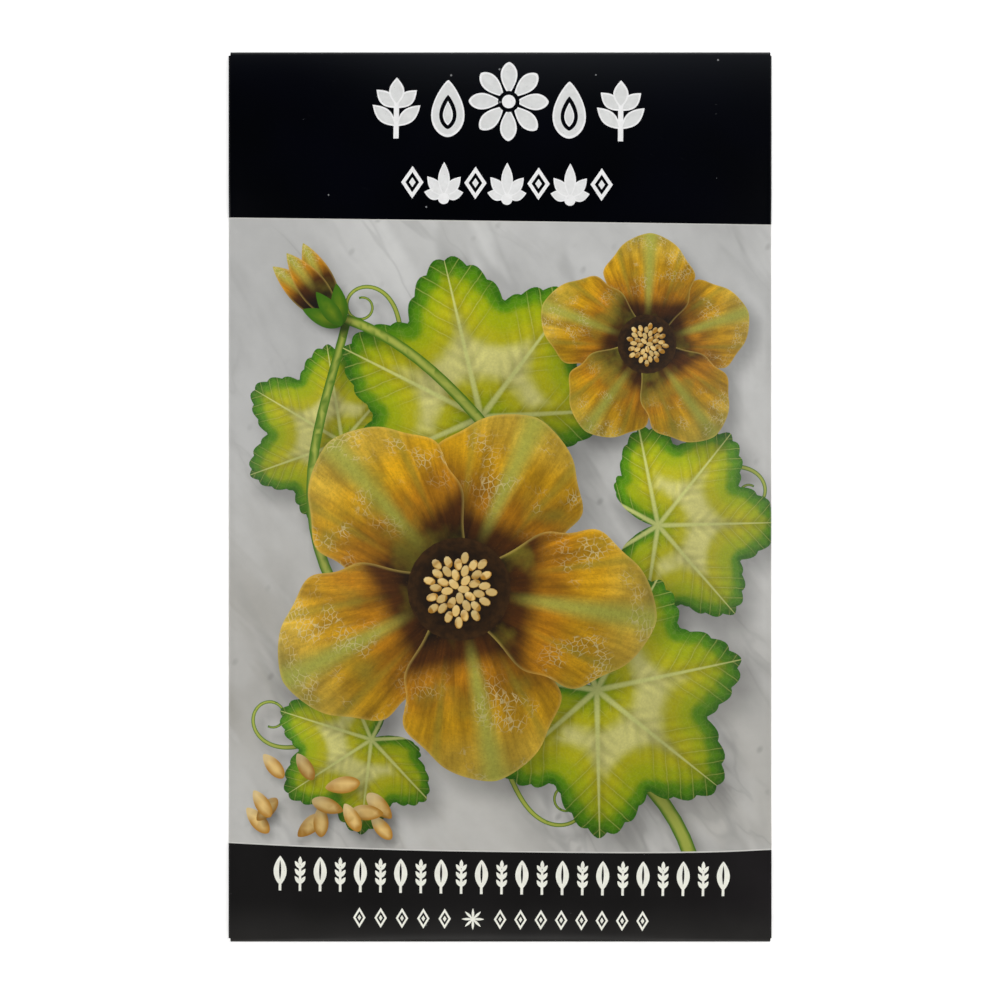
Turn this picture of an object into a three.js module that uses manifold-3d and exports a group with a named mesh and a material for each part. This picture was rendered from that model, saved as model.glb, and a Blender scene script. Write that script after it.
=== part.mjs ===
// A sealed seed packet: one die-cut sheet of coated paper, folded and glued into a flat envelope, with
// loose melon seeds inside.
//
// Millimetres. The packet lies on its back on the plane z = 0, with its printed front facing +Z, its top
// edge towards +Y and its width along X. The origin is on that plane, under the packet's middle.
//
// The sheet is one grid of cells. Across, it runs from the narrow side flap, round the right fold, over
// the front, round the left fold and under the back. Lengthwise, the front alone runs on round the top and
// bottom folds into the two end flaps, which lie under the back panel and are glued to it.

import * as THREE from "three";
import { mergeVertices } from "three/addons/utils/BufferGeometryUtils.js";
import Module from "manifold-3d";

// Driving dimensions of the envelope
const packetWidth = 83;
const packetHeight = 136;
const paperThickness = 0.15;
const layerGap = 0.1;
const sideFlapDepth = 12;
const topFlapDepth = 20;
const bottomFlapDepth = 14;
const flapTaper = THREE.MathUtils.degToRad(10);
const flapInset = 0.8;
const flapCornerRadius = 5;
const backPanelInset = 1.6;
const endClearance = 0.6;
const flapRampStart = 1;
const flapRampLength = 7;

// The room that the seeds make between front and back, highest in the lower half where they gather
const crownHeight = 3.6;
const crownSideExponent = 2.4;
const crownLengthExponent = 0.74;
const buckleHeight = 0.14;
const buckleWavelength = 23;
const buckleFromFold = 8;

// Grid of the sheet
const frontColumns = 14;
const sideFlapColumns = 3;
const lengthRows = 24;
const foldSegments = 4;
const topFlapRows = 6;
const bottomFlapRows = 5;

// Glue lines, which sink this far into the two layers that they join
const glueSink = 0.03;
const endGlueHalfWidth = 33;
const endGlueMargin = 2.5;
const sideGlueFromFreeEdge = 1.5;
const sideGlueWidth = 6;
const sideGlueEndMargin = 4;

// Seeds
const seedCount = 25;
const seedLength = 10.4;
const seedWidth = 4.7;
const seedThickness = 1.5;
const seedTipNarrowing = 0.42;
const seedTipSharpness = 1.5;
const seedSides = 12;
const seedRings = 7;
const seedClearance = 0.2;
const seedAreaHalfWidth = 25;
const seedAreaBottom = -42;
const seedAreaTop = 12;
const seedGathering = 1.5;
const randomSeed = 41;

// The three circles that stand for a seed's outline: the outer two's place along it, and their size
const outerCirclePlace = 0.3;
const outerCircleSize = 0.92;

const layerStep = paperThickness + layerGap;
const leftFoldRadius = layerStep;
const rightFoldRadius = layerStep / 2;
const endFoldRadius = (layerStep * 3) / 2;
const leftFoldX = -packetWidth / 2 + leftFoldRadius + paperThickness / 2;
const rightFoldX = packetWidth / 2 - rightFoldRadius - paperThickness / 2;
const endFoldY = packetHeight / 2 - endFoldRadius - paperThickness / 2;
const wrapEndY = packetHeight / 2 - endClearance;
const seedRestHeight = paperThickness + seedClearance + seedThickness / 2;

// Heights of the middle of each paper layer

// 1 where an end flap lies under the back panel, falling to 0 where the panel lies on the surface.
function flapCover(y) {
  const flapDepth = y > 0 ? topFlapDepth : bottomFlapDepth;
  const pastFlap = packetHeight / 2 - Math.abs(y) - flapDepth - flapRampStart;
  return 1 - THREE.MathUtils.smoothstep(pastFlap, 0, flapRampLength);
}

function backHeight(y) {
  return paperThickness / 2 + layerStep * flapCover(y);
}

function sideFlapHeight(y) {
  return backHeight(y) + layerStep;
}

// Free room under the front beyond the folded layers, 0 along all four folds.
function seedRoom(x, y) {
  const fromBottom = THREE.MathUtils.clamp(y / (2 * endFoldY) + 0.5, 0, 1);
  const lengthwise = Math.sin(Math.PI * fromBottom ** crownLengthExponent);
  const halfSpan = (rightFoldX - leftFoldX) / 2;
  const across = Math.min(1, Math.abs(x - (leftFoldX + halfSpan)) / halfSpan);
  const crown = crownHeight * (1 - across ** crownSideExponent) * lengthwise;
  const fromFold = ((1 - across) * halfSpan) / buckleFromFold;
  const nearFold = fromFold * Math.exp(1 - fromFold);
  const phase = x > 0 ? 0 : Math.PI / 3;
  const wave = Math.sin((2 * Math.PI * y) / buckleWavelength + phase);
  return Math.max(0, crown + buckleHeight * nearFold * wave * lengthwise);
}

function frontHeight(x, y) {
  return backHeight(y) + 2 * layerStep + seedRoom(x, y);
}

// Stations across and along the sheet

function evenly(from, to, steps) {
  return Array.from({ length: steps + 1 }, (_, i) => from + ((to - from) * i) / steps);
}

function stations(panel, values) {
  return values.map((at) => ({ panel, at }));
}

const foldAngles = evenly(0, Math.PI, foldSegments).slice(1, -1);

const acrossStations = [
  ...stations("sideFlap", evenly(packetWidth / 2 - sideFlapDepth, rightFoldX, sideFlapColumns)),
  ...stations("rightFold", [...foldAngles].reverse()),
  ...stations("front", evenly(rightFoldX, leftFoldX, frontColumns)),
  ...stations("leftFold", foldAngles),
  ...stations("back", evenly(leftFoldX, packetWidth / 2 - backPanelInset, frontColumns)),
];

const alongStations = [
  ...stations("bottomFlap", evenly(bottomFlapDepth, endFoldRadius, bottomFlapRows)),
  ...stations("bottomFold", [...foldAngles].reverse()),
  ...stations("body", [-endFoldY, ...evenly(-wrapEndY, wrapEndY, lengthRows), endFoldY]),
  ...stations("topFold", foldAngles),
  ...stations("topFlap", evenly(endFoldRadius, topFlapDepth, topFlapRows)),
];

// How far a flap's sides have come in, at a depth from the packet's end: cut back, tapered and rounded.
function flapSideInset(depth, flapDepth) {
  const taper = flapInset + (depth - endFoldRadius) * Math.tan(flapTaper);
  const intoCorner = Math.max(0, depth - (flapDepth - flapCornerRadius)) / flapCornerRadius;
  return taper + flapCornerRadius * (1 - Math.sqrt(Math.max(0, 1 - intoCorner ** 2)));
}

function foldPoint(centreX, outwards, angle, y, upper, lower) {
  const radius = (upper - lower) / 2;
  const x = centreX + outwards * radius * Math.sin(angle);
  return new THREE.Vector3(x, y, (upper + lower) / 2 + radius * Math.cos(angle));
}

// A point of the packet's body, where the sheet wraps round from side flap to back.
function bodyPoint(across, y) {
  const x = across.at;
  switch (across.panel) {
    case "sideFlap":
      return new THREE.Vector3(x, y, sideFlapHeight(y));
    case "rightFold":
      return foldPoint(rightFoldX, 1, x, y, frontHeight(rightFoldX, y), sideFlapHeight(y));
    case "front":
      return new THREE.Vector3(x, y, frontHeight(x, y));
    case "leftFold":
      return foldPoint(leftFoldX, -1, x, y, frontHeight(leftFoldX, y), backHeight(y));
    default:
      return new THREE.Vector3(x, y, backHeight(y));
  }
}

// A point of the front's run-on round an end fold and along its flap, at a depth from the packet's end.
function endPoint(along, x) {
  const end = along.panel.startsWith("top") ? 1 : -1;
  const upper = frontHeight(x, end * endFoldY);
  const lower = paperThickness / 2;
  if (along.panel.endsWith("Fold")) {
    const radius = (upper - lower) / 2;
    const y = end * (endFoldY + radius * Math.sin(along.at));
    return new THREE.Vector3(x, y, (upper + lower) / 2 + radius * Math.cos(along.at));
  }
  const flapDepth = end > 0 ? topFlapDepth : bottomFlapDepth;
  const narrowing = 1 - flapSideInset(along.at, flapDepth) / (packetWidth / 2);
  const y = end * (packetHeight / 2 - along.at);
  return new THREE.Vector3(x * narrowing, y, lower);
}

function sheetPoint(across, along) {
  if (along.panel === "body") return bodyPoint(across, along.at);
  return across.panel === "front" ? endPoint(along, across.at) : null;
}

// Whether the sheet has paper at this grid point: beyond the wrapped body, only the front runs on.
function hasPaper(across, along) {
  if (across.panel === "front") return true;
  return along.panel === "body" && Math.abs(along.at) <= wrapEndY + 1e-6;
}

// Building closed solids

function geometryOf(positions, indices) {
  const geometry = new THREE.BufferGeometry();
  geometry.setAttribute("position", new THREE.Float32BufferAttribute(positions, 3));
  geometry.setIndex(indices);
  return geometry;
}

// The folded sheet, thickened to both sides of its middle surface and closed along its cut edges.
function sheetGeometry() {
  const columns = acrossStations.length;
  const rows = alongStations.length;
  const middle = alongStations.map((along) =>
    acrossStations.map((across) => (hasPaper(across, along) ? sheetPoint(across, along) : null)),
  );
  const pointAt = (i, j) => (middle[j] && middle[j][i]) || null;

  function normalAt(i, j) {
    const here = pointAt(i, j);
    const across = (pointAt(i + 1, j) || here).clone().sub(pointAt(i - 1, j) || here);
    const along = (pointAt(i, j + 1) || here).clone().sub(pointAt(i, j - 1) || here);
    return along.cross(across).normalize();
  }

  const positions = [];
  const numberOf = new Map();
  for (let j = 0; j < rows; j += 1) {
    for (let i = 0; i < columns; i += 1) {
      const here = pointAt(i, j);
      if (!here) continue;
      const offset = normalAt(i, j).multiplyScalar(paperThickness / 2);
      numberOf.set(j * columns + i, positions.length / 3);
      positions.push(...here.clone().add(offset).toArray(), ...here.clone().sub(offset).toArray());
    }
  }

  const cellExists = (i, j) =>
    [0, 1].every((a) => [0, 1].every((b) => pointAt(i + a, j + b) && i + a < columns));
  const outer = (i, j) => numberOf.get(j * columns + i);
  const inner = (i, j) => outer(i, j) + 1;
  const indices = [];
  const quad = (a, b, c, d) => indices.push(a, b, c, a, c, d);
  const wall = (i, j, k, l) => quad(outer(i, j), inner(i, j), inner(k, l), outer(k, l));

  for (let j = 0; j < rows - 1; j += 1) {
    for (let i = 0; i < columns - 1; i += 1) {
      if (!cellExists(i, j)) continue;
      quad(outer(i, j), outer(i, j + 1), outer(i + 1, j + 1), outer(i + 1, j));
      quad(inner(i, j), inner(i + 1, j), inner(i + 1, j + 1), inner(i, j + 1));
      if (!cellExists(i, j - 1)) wall(i + 1, j, i, j);
      if (!cellExists(i, j + 1)) wall(i, j + 1, i + 1, j + 1);
      if (!cellExists(i - 1, j)) wall(i, j, i, j + 1);
      if (!cellExists(i + 1, j)) wall(i + 1, j + 1, i + 1, j);
    }
  }
  return geometryOf(positions, indices);
}

// A closed strip between two layers, following their heights along the packet.
function glueGeometry(xFrom, xTo, yStations, lowerAt, upperAt) {
  const positions = [];
  for (const y of yStations) {
    for (const [x, z] of [
      [xFrom, lowerAt(y) - glueSink],
      [xTo, lowerAt(y) - glueSink],
      [xTo, upperAt(y) + glueSink],
      [xFrom, upperAt(y) + glueSink],
    ]) {
      positions.push(x, y, z);
    }
  }
  const indices = [0, 1, 2, 0, 2, 3];
  const last = (yStations.length - 1) * 4;
  indices.push(last, last + 2, last + 1, last, last + 3, last + 2);
  for (let j = 0; j < yStations.length - 1; j += 1) {
    for (let side = 0; side < 4; side += 1) {
      const a = j * 4 + side;
      const b = j * 4 + ((side + 1) % 4);
      indices.push(a, a + 4, b + 4, a, b + 4, b);
    }
  }
  return geometryOf(positions, indices);
}

function endGlue(end, flapDepth) {
  const near = packetHeight / 2 - flapDepth + endGlueMargin;
  const far = packetHeight / 2 - endGlueMargin;
  const ys = end > 0 ? [near, far] : [-far, -near];
  const flapTop = () => paperThickness;
  const backUnderside = () => paperThickness + layerGap;
  return glueGeometry(-endGlueHalfWidth, endGlueHalfWidth, ys, flapTop, backUnderside);
}

function sideGlue() {
  const xFrom = packetWidth / 2 - sideFlapDepth + sideGlueFromFreeEdge;
  const ys = evenly(-wrapEndY, wrapEndY, lengthRows).slice(1, -1);
  ys[0] = -packetHeight / 2 + sideGlueEndMargin;
  ys[ys.length - 1] = packetHeight / 2 - sideGlueEndMargin;
  const backTop = (y) => backHeight(y) + paperThickness / 2;
  const flapUnderside = (y) => sideFlapHeight(y) - paperThickness / 2;
  return glueGeometry(xFrom, xFrom + sideGlueWidth, ys, backTop, flapUnderside);
}

// Joining the sheet and its glue lines

const wasm = await Module();
wasm.setup();

function solidOf(geometry) {
  const merged = mergeVertices(geometry, 1e-4);
  return new wasm.Manifold(
    new wasm.Mesh({
      numProp: 3,
      vertProperties: merged.attributes.position.array,
      triVerts: new Uint32Array(merged.index.array),
    }),
  );
}

function geometryOfSolid(solid) {
  const { vertProperties, triVerts } = solid.getMesh();
  const geometry = geometryOf(vertProperties, Array.from(triVerts));
  geometry.computeVertexNormals();
  return geometry;
}

function envelopeGeometry() {
  const glueLines = [endGlue(1, topFlapDepth), endGlue(-1, bottomFlapDepth), sideGlue()];
  const glued = glueLines.reduce((solid, glue) => solid.add(solidOf(glue)), solidOf(sheetGeometry()));
  return geometryOfSolid(glued);
}

// Seeds

// A flat seed along X, round at one end and narrowed to a blunt tip at the other.
function seedGeometry() {
  const geometry = new THREE.SphereGeometry(1, seedSides, seedRings);
  geometry.deleteAttribute("normal");
  geometry.deleteAttribute("uv");
  geometry.rotateZ(-Math.PI / 2);
  const position = geometry.attributes.position;
  for (let i = 0; i < position.count; i += 1) {
    const along = position.getX(i);
    const narrowing = 1 - seedTipNarrowing * Math.max(0, along) ** seedTipSharpness;
    position.setXYZ(
      i,
      (along * seedLength) / 2,
      (position.getY(i) * narrowing * seedWidth) / 2,
      (position.getZ(i) * narrowing * seedThickness) / 2,
    );
  }
  return mergeVertices(geometry, 1e-4);
}

// A repeatable random number from 0 to 1.
function randomFrom(start) {
  let state = start;
  return () => {
    state = (state * 1664525 + 1013904223) % 4294967296;
    return state / 4294967296;
  };
}

// Three circles along a seed, which stand for its outline.
function seedCircles({ x, y, turn }) {
  return [-outerCirclePlace, 0, outerCirclePlace].map((share) => ({
    x: x + Math.cos(turn) * seedLength * share,
    y: y + Math.sin(turn) * seedLength * share,
    radius: (seedWidth / 2) * (share === 0 ? 1 : outerCircleSize) + seedClearance / 2,
  }));
}

function clearOf(one, other) {
  return seedCircles(one).every((a) =>
    seedCircles(other).every((b) => Math.hypot(a.x - b.x, a.y - b.y) > a.radius + b.radius),
  );
}

// Whether the front paper passes over the whole seed with room to spare.
function fitsUnderFront(place) {
  const seedTop = seedRestHeight + seedThickness / 2 + seedClearance;
  const underside = (x, y) => frontHeight(x, y) - paperThickness / 2;
  return seedCircles(place).every(({ x, y, radius }) =>
    [-radius, radius].every((across) =>
      [-radius, radius].every((along) => underside(x + across, y + along) > seedTop),
    ),
  );
}

// Seeds lie flat on the back panel where it lies on the surface, no two touching, fewer towards the top.
function seedPlaces() {
  const random = randomFrom(randomSeed);
  const places = [];
  while (places.length < seedCount) {
    const towardsTop = random() ** seedGathering;
    const place = {
      x: (random() * 2 - 1) * seedAreaHalfWidth,
      y: seedAreaBottom + (seedAreaTop - seedAreaBottom) * towardsTop,
      turn: random() * 2 * Math.PI,
    };
    const onFlatBack = seedCircles(place).every(({ y, radius }) => flapCover(y - radius) === 0);
    if (onFlatBack && fitsUnderFront(place) && places.every((other) => clearOf(place, other))) {
      places.push(place);
    }
  }
  return places;
}

// The packet

function paperMaterial() {
  return new THREE.MeshStandardMaterial({ color: 0xbdbdb9, roughness: 0.38, metalness: 0 });
}

function seedMaterial() {
  return new THREE.MeshStandardMaterial({ color: 0xe2c88c, roughness: 0.55, metalness: 0 });
}

const packet = new THREE.Group();

const envelope = new THREE.Mesh(envelopeGeometry(), paperMaterial());
envelope.name = "paper_envelope";
packet.add(envelope);

const seedCoat = seedMaterial();
const seedShape = seedGeometry();
seedPlaces().forEach(({ x, y, turn }, index) => {
  const seed = new THREE.Mesh(seedShape, seedCoat);
  seed.name = `seed_${String(index + 1).padStart(2, "0")}`;
  seed.position.set(x, y, seedRestHeight);
  seed.rotation.z = turn;
  packet.add(seed);
});

export default packet;
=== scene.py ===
"""A sealed paper seed packet: the folded printed sheet, its ink ornaments, its glue lines and its seeds.

The flat sheet is laid out in millimetres, s across and t along, with the front panel's middle at (0, 0).
Its print is drawn on the flat sheet as outlines, one over the other, and the whole sheet is then folded.
"""

import math
import random

import bpy
import numpy as np
from bpy.props import FloatProperty, FloatVectorProperty, IntProperty, PointerProperty
from bpy.types import Operator, Panel, PropertyGroup
from mathutils import Matrix, Vector
from mathutils.geometry import delaunay_2d_cdt


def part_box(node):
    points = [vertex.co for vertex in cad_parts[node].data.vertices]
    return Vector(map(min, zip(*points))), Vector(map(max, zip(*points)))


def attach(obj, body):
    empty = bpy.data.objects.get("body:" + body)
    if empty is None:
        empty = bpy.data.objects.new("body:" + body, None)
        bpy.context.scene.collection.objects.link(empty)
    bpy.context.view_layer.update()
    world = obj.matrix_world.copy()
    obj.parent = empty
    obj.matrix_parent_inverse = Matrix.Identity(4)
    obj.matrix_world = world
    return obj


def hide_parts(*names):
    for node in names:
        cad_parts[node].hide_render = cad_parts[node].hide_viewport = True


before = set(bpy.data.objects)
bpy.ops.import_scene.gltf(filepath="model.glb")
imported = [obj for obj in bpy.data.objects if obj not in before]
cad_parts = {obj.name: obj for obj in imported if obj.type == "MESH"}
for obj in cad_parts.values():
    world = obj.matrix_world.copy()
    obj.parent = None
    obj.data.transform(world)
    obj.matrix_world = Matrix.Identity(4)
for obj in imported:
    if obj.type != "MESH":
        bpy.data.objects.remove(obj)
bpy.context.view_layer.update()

bl_info = {
    "name": "Seed Packet",
    "version": (1, 0, 0),
    "blender": (4, 5, 0),
    "location": "View3D > Sidebar > Seed Packet",
    "description": "Builds a sealed, printed paper seed packet round its packed frame",
    "category": "Add Mesh",
}

MM = 0.001
ENVELOPE_NODE = "paper_envelope"
SEED_NODES = sorted(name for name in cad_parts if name.startswith("seed_"))

envelope_low, envelope_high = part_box(ENVELOPE_NODE)
envelope_size = envelope_high - envelope_low


def screen(code):
    """A colour in linear light, from its six-figure screen code."""
    channels = [int(code[i : i + 2], 16) / 255 for i in (0, 2, 4)]
    return tuple(c / 12.92 if c <= 0.04045 else ((c + 0.055) / 1.055) ** 2.4 for c in channels)


def opaque(shade):
    """A colour with nothing seen through it, from its three numbers or its screen code."""
    return (*(screen(shade) if isinstance(shade, str) else shade), 1.0)[:4]


def length(name, description, millimetres):
    """A length that a user can change."""
    return FloatProperty(
        name=name, description=description, default=millimetres * MM, min=0.0, unit="LENGTH", precision=5
    )


def colour(name, description, code):
    """A colour that a user can change."""
    return FloatVectorProperty(
        name=name, description=description, default=screen(code), min=0.0, max=1.0, size=3, subtype="COLOR"
    )


class SEEDPACKET_PG_sheet(PropertyGroup):
    """Sizes of the folded sheet."""

    width: length("Width", "Across the closed packet", envelope_size.x / MM)
    height: length("Height", "Along the closed packet", envelope_size.y / MM)
    paper: length("Paper", "Thickness of the paper", 0.15)
    layer_gap: length("Layer gap", "Air between two layers of paper", 0.1)
    side_flap: length("Side flap", "Depth of the flap inside the right edge", 12)
    top_flap: length("Top flap", "Depth of the top flap behind the packet", 20)
    bottom_flap: length("Bottom flap", "Depth of the bottom flap behind the packet", 14)
    flap_inset: length("Flap inset", "How far a flap's sides are cut back at its fold", 0.8)
    flap_corner: length("Flap corner", "Radius of an end flap's corners", 5)
    back_inset: length("Back inset", "From the back panel's free edge to the packet's right edge", 1.6)
    end_clearance: length("End clearance", "From the wrapped sheet's ends to the packet's ends", 0.6)
    crown: length("Crown", "How high the seeds lift the front", 3.6)
    buckle: length("Buckle", "Height of the waves along the side folds", 0.14)
    cockle: length("Cockle", "Height of the faint waves all over the front", 0.05)
    grid: length("Grid", "Spacing of the front's grid", 1.0)


class SEEDPACKET_PG_print(PropertyGroup):
    """Sizes and colours of the print."""

    skew: FloatProperty(
        name="Skew",
        description="Clockwise turn of the whole print on the sheet",
        default=math.radians(0.74),
        subtype="ANGLE",
    )
    top_band: length("Top band", "Height of the black title band", 25.84)
    bottom_band: length("Bottom band", "Height of the charcoal band at the foot", 14.65)
    band_bow: length("Band bow", "How far the foot band's edge bows down", 0.5)
    rule: length("Rule", "Width of the pale line along the foot band", 0.2)
    film: length("Ink film", "How far the pale ornaments stand out of the paper", 0.02)
    black: colour("Black", "Ink of the title band", "010205")
    charcoal: colour("Charcoal", "Ink of the foot band", "1B1A1A")
    stone: colour("Stone", "Pale stone ground of the picture", "C3C3C1")
    stone_shade: colour("Stone shade", "Warm shade of the stone ground", "BDBBB5")
    vein: colour("Vein", "Veins in the stone ground", "8E8E8C")
    gold: colour("Gold", "Petals", "CD9A10")
    olive: colour("Olive", "Ribs and tips of the petals", "8C8428")
    throat: colour("Throat", "Dark heart of a blossom", "1C1004")
    cork: colour("Cork", "Fine net on the petals", "D9CB97")
    leaf_rim: colour("Leaf rim", "Edge of a leaf", "2F6B00")
    leaf_lime: colour("Leaf lime", "Body of a leaf", "9DA900")
    leaf_heart: colour("Leaf heart", "Pale middle of a leaf", "D2CD7C")
    kernel: colour("Kernel", "Drawn seeds", "E6C37A")
    ornament: colour("Ornament", "Pale ink of the title ornaments", "E9EAE9")
    foot_ornament: colour("Foot ornament", "Pale ink of the foot ornaments", "F4F4E8")
    back_ground: colour("Back ground", "Ground of the back panel", "E4E0D2")
    bare_paper: colour("Bare paper", "The sheet's unprinted side and its cut edges", "EDEBE4")


class SEEDPACKET_PG_seeds(PropertyGroup):
    """Sizes and colours of the loose seeds."""

    seed_length: length("Length", "Length of a seed", 10.4)
    seed_width: length("Width", "Width of a seed", 4.7)
    seed_thickness: length("Thickness", "Thickness of a seed", 1.5)
    coat: colour("Coat", "Seed coat", "E2C88C")
    coat_edge: colour("Coat edge", "Darker rim and tip of a seed", "B98F52")
    sides: IntProperty(name="Sides", description="Faces round a seed", default=28, min=8)
    rings: IntProperty(
        name="Rings", description="Faces from a seed's tip to its other end", default=20, min=6
    )


class SEEDPACKET_PG_stage(PropertyGroup):
    """The floor, the lights and the camera."""

    lens: FloatProperty(
        name="Lens", description="Focal length on a 36 mm sensor", default=70 * MM, unit="LENGTH", precision=4
    )
    field: length("Field", "Width of what the camera sees at the packet's edges", 153.15)
    floor: colour("Floor", "Plain pale floor", "FCFCFC")


# Flat shapes and grids

def heading(angle):
    """The unit vector at an angle."""
    return np.array([math.cos(angle), math.sin(angle)])


def turned(points, angle):
    """Points turned anticlockwise about the origin."""
    c, s = math.cos(angle), math.sin(angle)
    return points @ np.array([[c, s], [-s, c]])


def evenly(low, high, spacing):
    """Evenly spread values from low to high, about this far apart."""
    return np.linspace(low, high, max(1, round((high - low) / spacing)) + 1)


def smoothstep(value, low, high):
    """0 below low, 1 above high and a smooth rise between them."""
    share = np.clip((value - low) / (high - low), 0, 1)
    return share * share * (3 - 2 * share)


MERGE_DISTANCE = 1e-4


def triangulated(outlines, before=(), edges=(), after=()):
    """Triangles over flat anticlockwise outlines and loose points: corners, triangles, outlines over each."""
    points = [Vector(point) for point in before]
    faces = []
    for outline in outlines:
        faces.append(list(range(len(points), len(points) + len(outline))))
        points += [Vector(point) for point in outline]
    points += [Vector(point) for point in after]
    corners, _, triangles, _, _, covering = delaunay_2d_cdt(points, edges, faces, 0, MERGE_DISTANCE, True)
    return np.array([tuple(corner) for corner in corners]), triangles, covering


def trimmed(corners, triangles):
    """The corners that these triangles use, and the triangles numbered by them."""
    used, renumbered = np.unique(np.array(triangles), return_inverse=True)
    return corners[used], renumbered.reshape(-1, 3)


def closed(triangles, count):
    """Faces of a closed sheet, upper side, lower side and walls, with its free edges' starts and ends.

    The lower side's corners follow the upper side's, which are this many.
    """
    edges = np.concatenate([triangles[:, [0, 1]], triangles[:, [1, 2]], triangles[:, [2, 0]]]).tolist()
    known = {tuple(edge) for edge in edges}
    starts, ends = np.array([edge for edge in edges if (edge[1], edge[0]) not in known]).T
    walls = np.stack([ends, starts, starts + count, ends + count], 1)
    faces = [*triangles.tolist(), *(triangles[:, ::-1] + count).tolist(), *walls.tolist()]
    return faces, starts, ends


# Folding the sheet

END_FOLD_LAYERS = 3
FLAP_TAPER = math.radians(10)
FLAP_RAMP_START = 1.0
FLAP_RAMP_LENGTH = 7.0
# Share of an end fold's arc at which the flap starts to narrow
FLAP_SHOULDER = 0.75
FLAP_SIDE_POINTS = 12
FLAP_CORNER_POINTS = 10
CROWN_SIDE_EXPONENT = 2.4
CROWN_LENGTH_EXPONENT = 0.74
BUCKLE_WAVELENGTH = 23.0
BUCKLE_FROM_FOLD = 8.0
BUCKLE_LEFT_PHASE = math.pi / 3
COCKLE_SIDE_EXPONENT = 4
# Each faint wave's reach across and along, and where it starts
COCKLE_WAVES = ((5.1, 9.7, 0.0), (-13.0, 6.3, 1.0))
LEFT_FOLD_STEPS = 8
FOLD_STEPS = 6
# The back's and the side flap's grid, next to the front's
BACK_GRID = 1.5
SIDE_FLAP_GRID = 2
SLOPE_STEP = 0.004


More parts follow.
